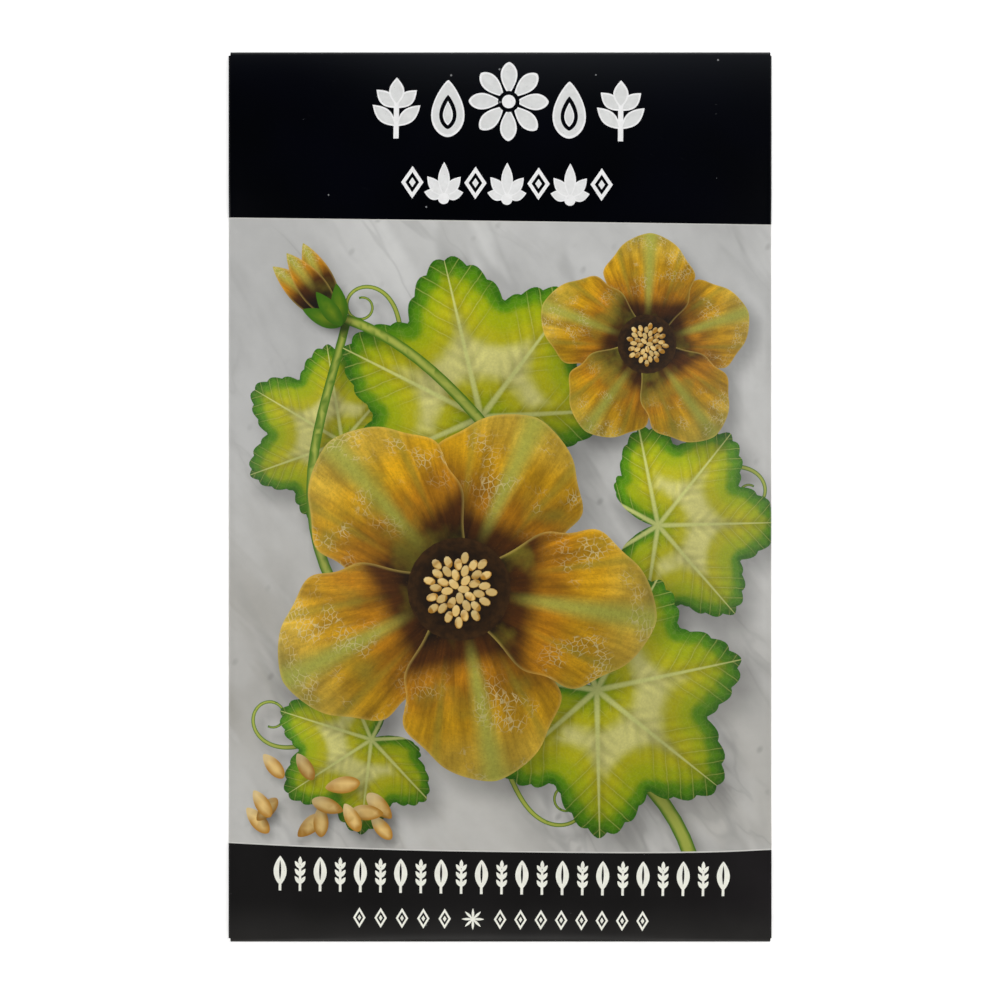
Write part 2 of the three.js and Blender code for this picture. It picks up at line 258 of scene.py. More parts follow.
class FoldedSheet:
    """Where a point of the flat sheet lies once the packet is folded, in millimetres."""

    width: float
    height: float
    paper: float
    top_flap: float
    bottom_flap: float
    flap_inset: float
    flap_corner: float
    crown: float
    buckle: float
    cockle: float
    grid: float

    def __init__(self, sizes):
        for name in FoldedSheet.__annotations__:
            setattr(self, name, getattr(sizes, name) / MM)
        self.layer_step = self.paper + sizes.layer_gap / MM
        self.left_radius = self.layer_step
        self.right_radius = self.layer_step / 2
        self.end_radius = self.layer_step * END_FOLD_LAYERS / 2
        self.left = -self.width / 2 + self.left_radius + self.paper / 2
        self.right = self.width / 2 - self.right_radius - self.paper / 2
        self.end = self.height / 2 - self.end_radius - self.paper / 2
        self.wrap_end = self.height / 2 - sizes.end_clearance / MM
        self.left_arc = math.pi * self.left_radius
        self.right_arc = math.pi * self.right_radius
        self.end_arc = math.pi * self.end_radius
        back_width = self.width / 2 - sizes.back_inset / MM - self.left
        side_flap_width = self.right - (self.width / 2 - sizes.side_flap / MM)
        self.back_edge = self.left - self.left_arc - back_width
        self.side_edge = self.right + self.right_arc + side_flap_width

    def flap_cover(self, y):
        """1 where an end flap lies under the back panel, falling to 0 where the panel lies flat."""
        depth = np.where(y > 0, self.top_flap, self.bottom_flap)
        past = self.height / 2 - np.abs(y) - depth - FLAP_RAMP_START
        return 1 - smoothstep(past, 0, FLAP_RAMP_LENGTH)

    def back_height(self, y):
        """Height of the back panel's middle surface."""
        return self.paper / 2 + self.layer_step * self.flap_cover(y)

    def seed_room(self, x, y):
        """Free room under the front beyond the folded layers, 0 along all four folds."""
        from_bottom = np.clip(y / (2 * self.end) + 0.5, 0, 1)
        lengthwise = np.sin(math.pi * from_bottom**CROWN_LENGTH_EXPONENT)
        half_span = (self.right - self.left) / 2
        across = np.minimum(1, np.abs(x - self.left - half_span) / half_span)
        crown = self.crown * (1 - across**CROWN_SIDE_EXPONENT) * lengthwise
        from_fold = (1 - across) * half_span / BUCKLE_FROM_FOLD
        near_fold = from_fold * np.exp(1 - from_fold)
        wave = np.sin(2 * math.pi * y / BUCKLE_WAVELENGTH + np.where(x > 0, 0, BUCKLE_LEFT_PHASE))
        waves = [np.sin(x / reach + y / along + start) for reach, along, start in COCKLE_WAVES]
        cockle = self.cockle * np.prod(waves, axis=0) * (1 - across**COCKLE_SIDE_EXPONENT) * lengthwise
        return np.maximum(0, crown + self.buckle * near_fold * wave * lengthwise + cockle)

    def front_height(self, x, y):
        """Height of the front's middle surface."""
        return self.back_height(y) + 2 * self.layer_step + self.seed_room(x, y)

    def middle(self, s, t):
        """Points of the folded sheet's middle surface for places s across and t along the flat sheet."""
        y = np.clip(t, -self.end, self.end)
        x = np.clip(s, self.left, self.right)
        z = self.front_height(x, y)
        for beyond, radius, outwards in (
            (s - self.right, self.right_radius, 1),
            (self.left - s, self.left_radius, -1),
        ):
            angle = np.clip(beyond / radius, 0, math.pi)
            run = np.maximum(beyond - math.pi * radius, 0)
            x = x + outwards * (radius * np.sin(angle) - run)
            z = z - radius * (1 - np.cos(angle))
        beyond = np.abs(t) - self.end
        angle = np.clip(beyond / self.end_radius, 0, math.pi)
        run = np.maximum(beyond - self.end_arc, 0)
        y = y + np.sign(t) * (self.end_radius * np.sin(angle) - run)
        z = z - self.end_radius * (1 - np.cos(angle))
        return np.stack([x, y, z], axis=-1)

    def surface(self, s, t):
        """Points of the middle surface and the unit normals there, which point out of the packet."""
        across = self.middle(s + SLOPE_STEP, t) - self.middle(s - SLOPE_STEP, t)
        along = self.middle(s, t + SLOPE_STEP) - self.middle(s, t - SLOPE_STEP)
        normal = np.cross(across, along)
        return self.middle(s, t), normal / np.linalg.norm(normal, axis=-1, keepdims=True)

    def flap_edge(self, flap_depth):
        """(narrowing, distance along) of an end flap's side, from its fold to the middle of its free edge."""
        fold_depth = self.height / 2 - self.end
        edge = [(1.0, self.end + FLAP_SHOULDER * self.end_arc)]

        def add(depth, rounding=0.0):
            inset = self.flap_inset + (depth - self.end_radius) * math.tan(FLAP_TAPER) + rounding
            edge.append((1 - inset / (self.width / 2), self.end + self.end_arc + depth - fold_depth))

        straight_end = flap_depth - self.flap_corner
        for depth in np.linspace(fold_depth, straight_end, FLAP_SIDE_POINTS):
            add(depth)
        for angle in np.linspace(0, math.pi / 2, FLAP_CORNER_POINTS)[1:]:
            add(straight_end + self.flap_corner * math.sin(angle), self.flap_corner * (1 - math.cos(angle)))
        return edge

    def outline(self):
        """The die-cut outline of the flat sheet, anticlockwise."""
        bottom = self.flap_edge(self.bottom_flap)
        top = self.flap_edge(self.top_flap)
        points = [(self.left, -self.end)]
        points += [(self.left * share, -t) for share, t in bottom]
        points += [(self.right * share, -t) for share, t in reversed(bottom)]
        points += [(self.right, -self.end), (self.right, -self.wrap_end)]
        points += [(self.side_edge, -self.wrap_end), (self.side_edge, self.wrap_end)]
        points += [(self.right, self.wrap_end), (self.right, self.end)]
        points += [(self.right * share, t) for share, t in top]
        points += [(self.left * share, t) for share, t in reversed(top)]
        points += [(self.left, self.end), (self.left, self.wrap_end)]
        points += [(self.back_edge, self.wrap_end), (self.back_edge, -self.wrap_end)]
        points += [(self.left, -self.wrap_end)]
        return np.array(points)

    def grid_points(self):
        """Points that the triangles' corners lie on wherever no printed edge passes."""
        front = evenly(self.left, self.right, self.grid)
        around = [
            evenly(self.back_edge, self.left - self.left_arc, self.grid * BACK_GRID),
            np.linspace(self.left - self.left_arc, self.left, LEFT_FOLD_STEPS + 1)[1:],
            front[1:],
            np.linspace(self.right, self.right + self.right_arc, FOLD_STEPS + 1)[1:],
            evenly(self.right + self.right_arc, self.side_edge, self.grid * SIDE_FLAP_GRID)[1:],
        ]
        rows = evenly(-self.wrap_end, self.wrap_end, self.grid)
        points = [(s, t) for s in np.concatenate(around) for t in rows]
        for side, flap_depth in ((1, self.top_flap), (-1, self.bottom_flap)):
            folds = np.linspace(self.end, self.end + self.end_arc, FOLD_STEPS + 1)
            points += [(s, side * t) for t in folds[:-2] for s in front]
            points += [(s, side * t) for t in folds[-2:] for s in front[1:-1]]
            for share, t in self.flap_edge(flap_depth)[2:-1]:
                points += [(s * share, side * t) for s in front[1:-1:2]]
        return points

    def fold_lines(self):
        """The lines that no triangle may cross, so that each one lies in one facet of a fold."""
        lines = []
        for low, high, steps in (
            (self.left - self.left_arc, self.left, LEFT_FOLD_STEPS),
            (self.right, self.right + self.right_arc, FOLD_STEPS),
        ):
            lines += [((s, -self.wrap_end), (s, self.wrap_end)) for s in np.linspace(low, high, steps + 1)]
        for side in (1, -1):
            for t in np.linspace(self.end, self.end + self.end_arc, FOLD_STEPS + 1)[:-1]:
                lines.append(((self.left, side * t), (self.right, side * t)))
        return lines

    def back_place(self, x, y):
        """The flat sheet's place of a point of the back panel."""
        return self.left - self.left_arc - (x - self.left), y


# Drawing the print

SHADOW_SHIFT = np.array([1.5, -2.0])
TOWARDS_LIGHT = np.array([-0.55, 0.83])


class Motif:
    """One printed shape: its outline, its ink, and the frame of its own that its pattern is drawn in."""

    def __init__(
        self, ink, outline, at=(0.0, 0.0), turn=0.0, size=1.0, shadow=0.0, blur=3.0, tint=0.5, spine=()
    ):
        self.ink = ink
        self.at = np.array(at, float)
        self.turn = turn
        self.size = size
        self.shadow = shadow
        self.blur = blur
        self.tint = tint
        self.outline = turned(np.array(outline, float), turn) + self.at
        self.spine = np.array(spine, float).reshape(-1, 2)

    def own(self, points):
        """Points of the sheet, in the motif's own frame."""
        return turned(points - self.at, -self.turn)

    def skewed(self, skew):
        """Turns the motif clockwise about the front's middle, with the rest of the print."""
        self.at = turned(self.at, -skew)
        self.outline = turned(self.outline, -skew)
        self.spine = turned(self.spine, -skew)
        self.turn -= skew
        return self


def depth_inside(points, outline):
    """Distance from each point to a closed outline, positive inside it and negative outside."""
    step = np.roll(outline, -1, axis=0) - outline
    away = points[:, None, :] - outline[None, :, :]
    share = np.clip((away * step).sum(-1) / np.maximum((step * step).sum(-1), 1e-12), 0, 1)
    nearest = away - share[..., None] * step
    distance = np.sqrt((nearest * nearest).sum(-1)).min(1)
    below = away[..., 1] >= 0
    passes = below != (away[..., 1] - step[None, :, 1] >= 0)
    rise = np.where(np.abs(step[:, 1]) < 1e-12, 1e-12, step[:, 1])
    right = away[..., 0] < away[..., 1] * step[:, 0] / rise
    inside = (passes & right).sum(1) % 2 == 1
    return np.where(inside, distance, -distance)


def blade(size, half_width, swell=1.0, fullness=0.8, ruffles=0, ruffle=0.0, points=28):
    """A leaf-shaped outline along X, widest towards its tip where swell is over 1."""
    u = 0.5 - 0.5 * np.cos(np.linspace(0, math.pi, points))
    width = half_width * np.sin(math.pi * u**swell) ** fullness
    width = width * (1 + ruffle * np.sin(ruffles * 2 * math.pi * u))
    width = np.where((u == 0) | (u == 1), 0, width)
    return np.concatenate([np.stack([size * u, -width], 1), np.stack([size * u, width], 1)[::-1][1:-1]])


def round_shape(radius_along, radius_across=None, points=24):
    """An ellipse round the origin."""
    angle = np.linspace(0, 2 * math.pi, points, endpoint=False)
    across = radius_along if radius_across is None else radius_across
    return np.stack([radius_along * np.cos(angle), across * np.sin(angle)], 1)


def rectangle(low_x, low_y, high_x, high_y):
    """A rectangle's corners, anticlockwise."""
    return np.array([(low_x, low_y), (high_x, low_y), (high_x, high_y), (low_x, high_y)])


RIB_SPACING = math.radians(50)
LEAF_TEETH = 23
LEAF_POINTS = 276


def lobed_leaf(size):
    """A broad leaf with five pointed lobes round its stalk, which meets it at the origin."""
    angle = np.linspace(-math.pi, math.pi, LEAF_POINTS, endpoint=False)
    turn = np.abs(angle)
    off_rib = np.abs((turn + RIB_SPACING / 2) % RIB_SPACING - RIB_SPACING / 2) / (RIB_SPACING / 2)
    reach = 1 - 0.3 * (turn / (2.5 * RIB_SPACING)) ** 1.6
    lobes = 1 - 0.26 * off_rib**1.4
    teeth = 1 + 0.035 * np.abs(np.sin(angle * LEAF_TEETH)) - 0.02
    heel = 1 - 0.86 * smoothstep(turn, 2.35 * RIB_SPACING, math.pi)
    radius = size * reach * lobes * teeth * heel
    return np.stack([radius * np.cos(angle), radius * np.sin(angle)], 1)


def winding(start, first, total, turning, points=40):
    """A path that starts at an angle and turns by turning(share of its length) along its length."""
    path = [np.array(start, float)]
    step = total / points
    for i in range(points):
        path.append(path[-1] + step * heading(first + turning((i + 0.5) / points)))
    return np.array(path)


def curved(start, control, end, points=14):
    """A smooth arc between two points, drawn towards a third."""
    share = np.linspace(0, 1, points)[:, None]
    start, control, end = (np.array(p, float) for p in (start, control, end))
    return (1 - share) ** 2 * start + 2 * share * (1 - share) * control + share**2 * end


def stroke(path, start_width, end_width, shadow=0.4, tint=0.5):
    """A drawn stalk, vine or tendril, narrowing from its start to its end."""
    along = np.gradient(path, axis=0)
    along /= np.linalg.norm(along, axis=1, keepdims=True)
    side = np.stack([-along[:, 1], along[:, 0]], 1)
    half = np.linspace(start_width / 2, end_width / 2, len(path))[:, None]
    outline = np.concatenate([path - side * half, (path + side * half)[::-1]])
    width = 0.5 * (start_width + end_width)
    return Motif("vine", outline, size=width, shadow=shadow, blur=1.6, tint=tint, spine=path[1:-1])


def leaf(base, degrees, size, tint):
    """A lobed leaf whose stalk ends at base."""
    turn = math.radians(degrees)
    return Motif("leaf", lobed_leaf(size), base, turn, size, shadow=0.42, blur=0.14 * size, tint=tint)


PETALS = 5
PETAL_LEAN = 4
HEART = 0.265
STAMENS = 38
STAMEN_SPREAD = 0.66
STAMEN_SIZE = 0.021
GOLDEN_TURN = math.pi * (3 - math.sqrt(5))


def blossom(centre, size, first_degrees, rng):
    """Ruffled petals round a dark throat full of pale stamens."""
    parts = []
    for index in range(PETALS):
        degrees = first_degrees + 360 / PETALS * index + rng.uniform(-PETAL_LEAN, PETAL_LEAN)
        petal_length = size * rng.uniform(0.95, 1.04)
        shape = blade(petal_length, size * 0.4, 1.28, 0.62, ruffles=3.5, ruffle=0.045, points=80)
        finish = {"shadow": 0.42, "blur": 0.1 * size, "tint": rng.random()}
        parts.append(Motif("petal", shape, centre, math.radians(degrees), size, **finish))
    heart = size * HEART
    parts.append(Motif("throat", round_shape(heart), centre, size=heart))
    grain = size * STAMEN_SIZE
    for index in range(STAMENS):
        angle = index * GOLDEN_TURN
        radius = heart * STAMEN_SPREAD * math.sqrt((index + 0.7) / STAMENS)
        place = np.array(centre) + radius * heading(angle)
        shape = round_shape(grain * 1.5, grain, 10)
        parts.append(Motif("kernel", shape, place, angle, grain, tint=rng.random()))
    return parts


def bud(base, degrees, size):
    """A closed blossom in its green cup."""
    parts = []
    for lean in (-13, 13, 0):
        turn = math.radians(degrees + lean)
        shape = blade(size, size * 0.17, swell=0.9)
        parts.append(Motif("petal", shape, base, turn, size * 1.6, shadow=0.3, blur=1.6, tint=0.3))
    foot = base - heading(math.radians(degrees))
    for lean in (-30, 30, 0):
        turn = math.radians(degrees + lean)
        shape = blade(size * 0.5, size * 0.1, swell=0.8)
        parts.append(Motif("blade", shape, foot, turn, size * 0.5, shadow=0.3, blur=1, tint=0.4))
    return parts


DRAWN_SEEDS = 13
# Each tendril's start, first angle, length, how tightly it curls and to which side
TENDRILS = (
    ((1, -40), -1.1, 30, 8.5, 1),
    ((-15, 21), 1.7, 27, 9.0, 1),
    ((-24, -36), 3.5, 27, 8.0, -1),
    ((30, 4), 0.2, 22, 8.0, -1),
)


def drawn_seeds(rng):
    """The picture's seeds in a loose heap, each with its shadow on the stone."""
    parts = []
    for index in range(DRAWN_SEEDS):
        column, row = divmod(index * 5 % DRAWN_SEEDS, 4)
        at = (-33 + 6.1 * column + rng.uniform(-1.6, 1.6), -51.5 + 2.9 * row + rng.uniform(-0.8, 0.8))
        turn = math.radians(rng.uniform(0, 360))
        size = rng.uniform(4.6, 5.4)
        shape = blade(size, size * 0.24, 0.86, 0.62, points=14)
        parts.append(Motif("kernel", shape, at, turn, size, shadow=0.4, blur=0.8, tint=rng.random()))
    return parts


def picture():
    """The drawn plant, from its lowest shape to its topmost."""
    rng = random.Random(7)
    parts = []
    for start, first, total, curl, side in TENDRILS:
        path = winding(start, first, total, lambda u: side * (curl * u**2.2 - 0.9 * u), points=60)
        parts.append(stroke(path, 0.85, 0.35, shadow=0.3, tint=0.7))
    vine = winding((31, -60), math.radians(118), 118, lambda u: 0.75 * math.sin(5.6 * u - 0.5))
    return [
        *parts,
        leaf((-24, 8), 150, 16, 0.35),
        stroke(curved((26, -4), (26, 10), (21, 23)), 1.9, 1.9),
        leaf((24, -4), 2, 19, 0.65),
        leaf((-19, -37), 214, 15.5, 0.4),
        stroke(vine, 2.3, 1.3, shadow=0.45, tint=0.3),
        leaf((15, -29), -38, 24, 0.55),
        leaf((-3, 12), 104, 25, 0.45),
        stroke(curved((3, 4), (-12, 24), (-25, 27)), 1.7, 1.5),
        *bud((-25, 26.5), 128, 13),
        *blossom((22, 23.5), 17, 20, rng),
        *blossom((-6, -14), 29.5, 64, rng),
        *drawn_seeds(rng),
    ]


TOP_BAND_LIFT = 0.2
SHEET_MARGIN = 100.0
PRINT_MARGIN = 5.0
SIDE_BLEED = 5.0
BAND_POINTS = 160
# How fast each band's bow falls off, to the left and to the right
FOOT_BOW_POWERS = (2.0, 5.0)
TOP_BOW_POWERS = (2.4, 2.4)


def band_edge(sheet, height, bow, powers):
    """Stations along a band's edge, bowed down by this much at the sides of the packet's middle."""
    x = np.linspace(sheet.back_edge - PRINT_MARGIN, sheet.side_edge + PRINT_MARGIN, BAND_POINTS)
    across = np.clip(x / (sheet.width / 2), -1, 1)
    power = np.where(across < 0, *powers)
    return np.stack([x, height - bow * (1 - np.abs(across) ** power)], 1)


def bands(sheet, sizes):
    """The two dark bands with the pale lines along them."""
    half = sheet.height / 2
    foot = band_edge(sheet, -half + sizes.bottom_band / MM, sizes.band_bow / MM, FOOT_BOW_POWERS)
    top = band_edge(sheet, half - sizes.top_band / MM, TOP_BAND_LIFT, TOP_BOW_POWERS)
    rule = np.array([0, sizes.rule / MM])
    corners = rectangle(foot[0, 0], -SHEET_MARGIN, foot[-1, 0], SHEET_MARGIN)
    return [
        Motif("rule", np.concatenate([foot, (foot + rule)[::-1]])),
        Motif("rule", np.concatenate([top - rule * 0.7, (top + rule)[::-1]])),
        Motif("charcoal", np.concatenate([corners[:2], foot[::-1]])),
        Motif("black", np.concatenate([top, corners[2:]])),
    ]


BACK_FRAME_LEFT = 5.0
BACK_FRAME_RIGHT = 7.0
BACK_FRAME_FOOT = 6.0
BACK_FRAME_HEAD = 8.0
BACK_FRAME_LINE = 0.5
NOTE_LINES = 7
NOTE_LINE = 0.22
NOTE_SPACING = 8.0
NOTE_INSET = 6.0
FIRST_NOTE = 7.0
SPRIG_LEAVES = ((90, 11), (38, 9.5), (142, 9.5), (0, 8), (180, 8))


def back_print(sheet):
    """The plain print of the back panel: a thin double frame, ruled lines for notes and a small sprig."""
    low_x, high_x = sheet.left + BACK_FRAME_LEFT, sheet.width / 2 - BACK_FRAME_RIGHT
    low_y = -sheet.height / 2 + sheet.bottom_flap + BACK_FRAME_FOOT
    high_y = sheet.height / 2 - sheet.top_flap - BACK_FRAME_HEAD

    def box(ink, inset, low, high):
        first, last = sheet.back_place(high_x - inset, low), sheet.back_place(low_x + inset, high)
        return Motif(ink, rectangle(*first, *last))

    parts = []
    for ink, lines_in in (("leaf_line", 0), ("back", 1), ("leaf_line", 2.4), ("back", 2.9)):
        inset = lines_in * BACK_FRAME_LINE
        parts.append(box(ink, inset, low_y + inset, high_y - inset))
    for index in range(NOTE_LINES):
        y = low_y + FIRST_NOTE + NOTE_SPACING * index
        parts.append(box("note_line", NOTE_INSET, y, y + NOTE_LINE))
    at = sheet.back_place((low_x + high_x) / 2, low_y + FIRST_NOTE + NOTE_SPACING * NOTE_LINES + 1.0)
    for degrees, size in SPRIG_LEAVES:
        turn = math.radians(degrees)
        parts.append(Motif("leaf_line", blade(size, size * 0.2, 0.9), at, turn, size))
        start = np.array(at) + 0.12 * size * heading(turn)
        parts.append(Motif("back", blade(size * 0.8, size * 0.12, 0.9), start, turn, size))
    return parts


def whole_print(sheet, sizes):
    """All printed shapes of the sheet, the later over the earlier."""

    def ground(ink, low, high):
        return Motif(ink, rectangle(low, -SHEET_MARGIN, high, SHEET_MARGIN))

    low, high = sheet.back_edge - PRINT_MARGIN, sheet.side_edge + PRINT_MARGIN
    parts = [part.skewed(sizes.skew) for part in (ground("stone", low, high), *picture())]
    parts.append(ground("back", low, sheet.left - sheet.left_arc))
    parts += [part.skewed(sizes.skew) for part in bands(sheet, sizes)]
    parts.append(ground("bare", sheet.right + sheet.right_arc + SIDE_BLEED, high))
    return parts + back_print(sheet)


# Turning the flat print into a folded mesh

class FlatPrint:
    """The flat sheet in triangles, each with the printed shape that shows on it."""

    def __init__(self, sheet, motifs):
        self.motifs = motifs
        grid, lines = sheet.grid_points(), sheet.fold_lines()
        edges = [(len(grid) + 2 * number, len(grid) + 2 * number + 1) for number in range(len(lines))]
        ends = [end for line in lines for end in line]
        outlines = [sheet.outline()] + [motif.outline for motif in motifs]
        spines = [point for motif in motifs for point in motif.spine]
        corners, triangles, covering = triangulated(outlines, grid + ends, edges, spines)
        kept = [(triangle, max(ids) - 1) for triangle, ids in zip(triangles, covering) if 0 in ids]
        self.motif_of = np.array([number for _, number in kept])
        self.points, self.triangles = trimmed(corners, [triangle for triangle, _ in kept])

    def shadows(self):
        """For each triangle's corners, how much light the shapes above its own leave, from 0 to 1."""
        light = np.ones((len(self.triangles), 3))
        for number, motif in enumerate(self.motifs):
            if motif.shadow == 0:
                continue
            outline = motif.outline + SHADOW_SHIFT * min(1.0, motif.blur / 2)
            low, high = outline.min(0) - motif.blur, outline.max(0) + motif.blur
            near = np.flatnonzero(((self.points > low) & (self.points < high)).all(1))
            depth = np.full(len(self.points), -1e9)
            depth[near] = depth_inside(self.points[near], outline)
            dark = motif.shadow * smoothstep(depth, -motif.blur, 0.7 * motif.blur)
            below = self.motif_of < number
            light[below] *= 1 - dark[self.triangles[below]]
        return light

    def own_coordinates(self):
        """Each corner's place in its shape's own frame with its depth inside it, and the shape's shading."""
        place = np.zeros((len(self.triangles), 3, 3))
        shading = np.full((len(self.triangles), 3, 3), 0.5)
        shading[..., 0] = self.shadows()
        for number, motif in enumerate(self.motifs):
            mine = np.flatnonzero(self.motif_of == number)
            if not len(mine):
                continue
            points = self.points[self.triangles[mine]].reshape(-1, 2)
            reach = motif.outline.max(0) - motif.outline.min(0)
            centred = (points - motif.outline.mean(0)) / max(reach.max() / 2, 1e-6)
            place[mine, :, :2] = (motif.own(points) / motif.size).reshape(-1, 3, 2)
            if motif.size != 1.0:
                depth = depth_inside(points, motif.outline) / motif.size
                place[mine, :, 2] = np.maximum(depth, 0).reshape(-1, 3)
            shading[mine, :, 1] = np.clip(0.5 + 0.5 * (centred @ TOWARDS_LIGHT), 0, 1).reshape(-1, 3)
            shading[mine, :, 2] = motif.tint
        return place, shading


# Where the parts of the sheet lie on the bake map: a corner of the map, then its units per millimetre
FRONT_MAP = (0.006, 0.006, 0.00716)
BACK_MAP = (0.620, 0.395, 0.0044)
TOP_FLAP_MAP = (0.620, 0.300, 0.0042)
BOTTOM_FLAP_MAP = (0.620, 0.232, 0.0042)
SIDE_FLAP_MAP = (0.985, 0.395, 0.0010)
INSIDE_MAP = (0.620, 0.006, 0.00118)
# The cut edges' corner of the map with the width of their square, and how full each edge's cell is
EDGE_MAP = (0.850, 0.006, 0.200)
EDGE_FILL = 0.7


def bake_map(sheet, points, triangles, edge_count):
    """A map with most of its room for the front: outside, inside and cut edges, corner by corner."""
    corner = points[triangles]
    middle = corner.mean(1)
    outside = np.zeros((len(triangles), 3, 2))
    left, right = sheet.left - sheet.left_arc, sheet.right + sheet.right_arc
    end = sheet.end + sheet.end_arc
    back, side = middle[:, 0] < left, middle[:, 0] > right
    top, bottom = middle[:, 1] > end, middle[:, 1] < -end
    for where, low, (u, v, scale) in (
        (~(back | side | top | bottom), (left, -end), FRONT_MAP),
        (back, (sheet.back_edge, -sheet.wrap_end), BACK_MAP),
        (side, (right, -sheet.wrap_end), SIDE_FLAP_MAP),
        (top, (sheet.left, end), TOP_FLAP_MAP),
        (bottom, (sheet.left, points[:, 1].min()), BOTTOM_FLAP_MAP),
    ):
        outside[where] = (corner[where] - np.array(low)) * scale + np.array([u, v])
    inside = (corner - points.min(0)) * INSIDE_MAP[2] + np.array(INSIDE_MAP[:2])

    side_count = math.ceil(math.sqrt(edge_count))
    pitch = EDGE_MAP[2] / side_count
    cell = pitch * EDGE_FILL
    number = np.arange(edge_count)
    low = np.stack([number % side_count, number // side_count], 1) * pitch
    square = np.array([(0, 0), (0, cell), (cell, cell), (cell, 0)])
    return outside, inside, low[:, None, :] + square[None] + np.array(EDGE_MAP[:2])


def write_vectors(mesh, name, domain, values):
    """Stores vectors on the mesh under a name that its materials read."""
    layer = mesh.attributes.new(name, "FLOAT_VECTOR", domain)
    layer.data.foreach_set("vector", np.ascontiguousarray(values, np.float32).ravel())


def write_numbers(mesh, name, domain, values):
    """Stores numbers on the mesh under a name that its materials read."""
    mesh.attributes.new(name, "FLOAT", domain).data.foreach_set("value", values)


def fold_print(sheet, flat, inks):
    """The folded sheet as one closed mesh: printed outside, bare inside and white cut edges."""
    triangles = flat.triangles
    middle, normal = sheet.surface(flat.points[:, 0], flat.points[:, 1])
    half = sheet.paper / 2
    faces, starts, ends = closed(triangles, len(flat.points))
    vertices = np.concatenate([middle + normal * half, middle - normal * half]) * MM
    mesh = bpy.data.meshes.new("printed_envelope")
    mesh.from_pydata(vertices.tolist(), [], faces)

    slots = {ink: index for index, ink in enumerate(inks)}
    for ink in inks.values():
        mesh.materials.append(ink)
    printed = [slots[flat.motifs[number].ink] for number in flat.motif_of]
    bare = [slots["inside"]] * len(triangles) + [slots["cut_edge"]] * len(starts)
    mesh.polygons.foreach_set("material_index", printed + bare)
    mesh.polygons.foreach_set("use_smooth", [True] * len(faces))

    bare_corners = len(triangles) * 3 + len(starts) * 4
    place, shading = flat.own_coordinates()
    for name, values, filler in (("motif", place, (0, 0, 0)), ("shading", shading, (1, 0.5, 0.5))):
        rest = np.tile(np.array(filler, float), (bare_corners, 1))
        write_vectors(mesh, name, "CORNER", np.concatenate([values.reshape(-1, 3), rest]))
    blank = np.concatenate([flat.points, flat.points])
    write_vectors(mesh, "blank", "POINT", np.pad(blank, ((0, 0), (0, 1))))

    outside, inside, edge_map = bake_map(sheet, flat.points, triangles, len(starts))
    uv = np.concatenate([part.reshape(-1, 2) for part in (outside, inside[:, ::-1], edge_map)])
    mesh.uv_layers.new(name="OFBake").uv.foreach_set("vector", uv.astype(np.float32).ravel())

    wall_normal = np.cross(vertices[ends] - vertices[starts], normal[starts])
    wall_normal /= np.linalg.norm(wall_normal, axis=1, keepdims=True)
    upper, lower = normal[triangles].reshape(-1, 3), -normal[triangles[:, ::-1]].reshape(-1, 3)
    mesh.normals_split_custom_set(np.concatenate([upper, lower, np.repeat(wall_normal, 4, axis=0)]).tolist())
    return mesh


# Building materials and Geometry Nodes trees

class Nodes:
    """A node tree being built, with short calls for nodes with their settings and inputs."""

    def __init__(self, tree):
        self.tree = tree

    def feed(self, socket, value):
        """Links an output into a socket, or sets the socket to a value or a colour's screen code."""
        if isinstance(value, bpy.types.NodeSocket):
            self.tree.links.new(value, socket)
        elif socket.type == "RGBA":
            socket.default_value = opaque(value)
        else:
            socket.default_value = value

    def add(self, kind, inputs=(), **settings):
        """A new node with these settings and inputs."""
        made = self.tree.nodes.new(kind)
        for name, value in settings.items():
            setattr(made, name, value)
        for key, value in dict(inputs).items():
            self.feed(made.inputs[key], value)
        return made

    def get(self, kind, inputs=(), output=0, **settings):
        """One of the outputs of a new node."""
        return self.add(kind, inputs, **settings).outputs[output]


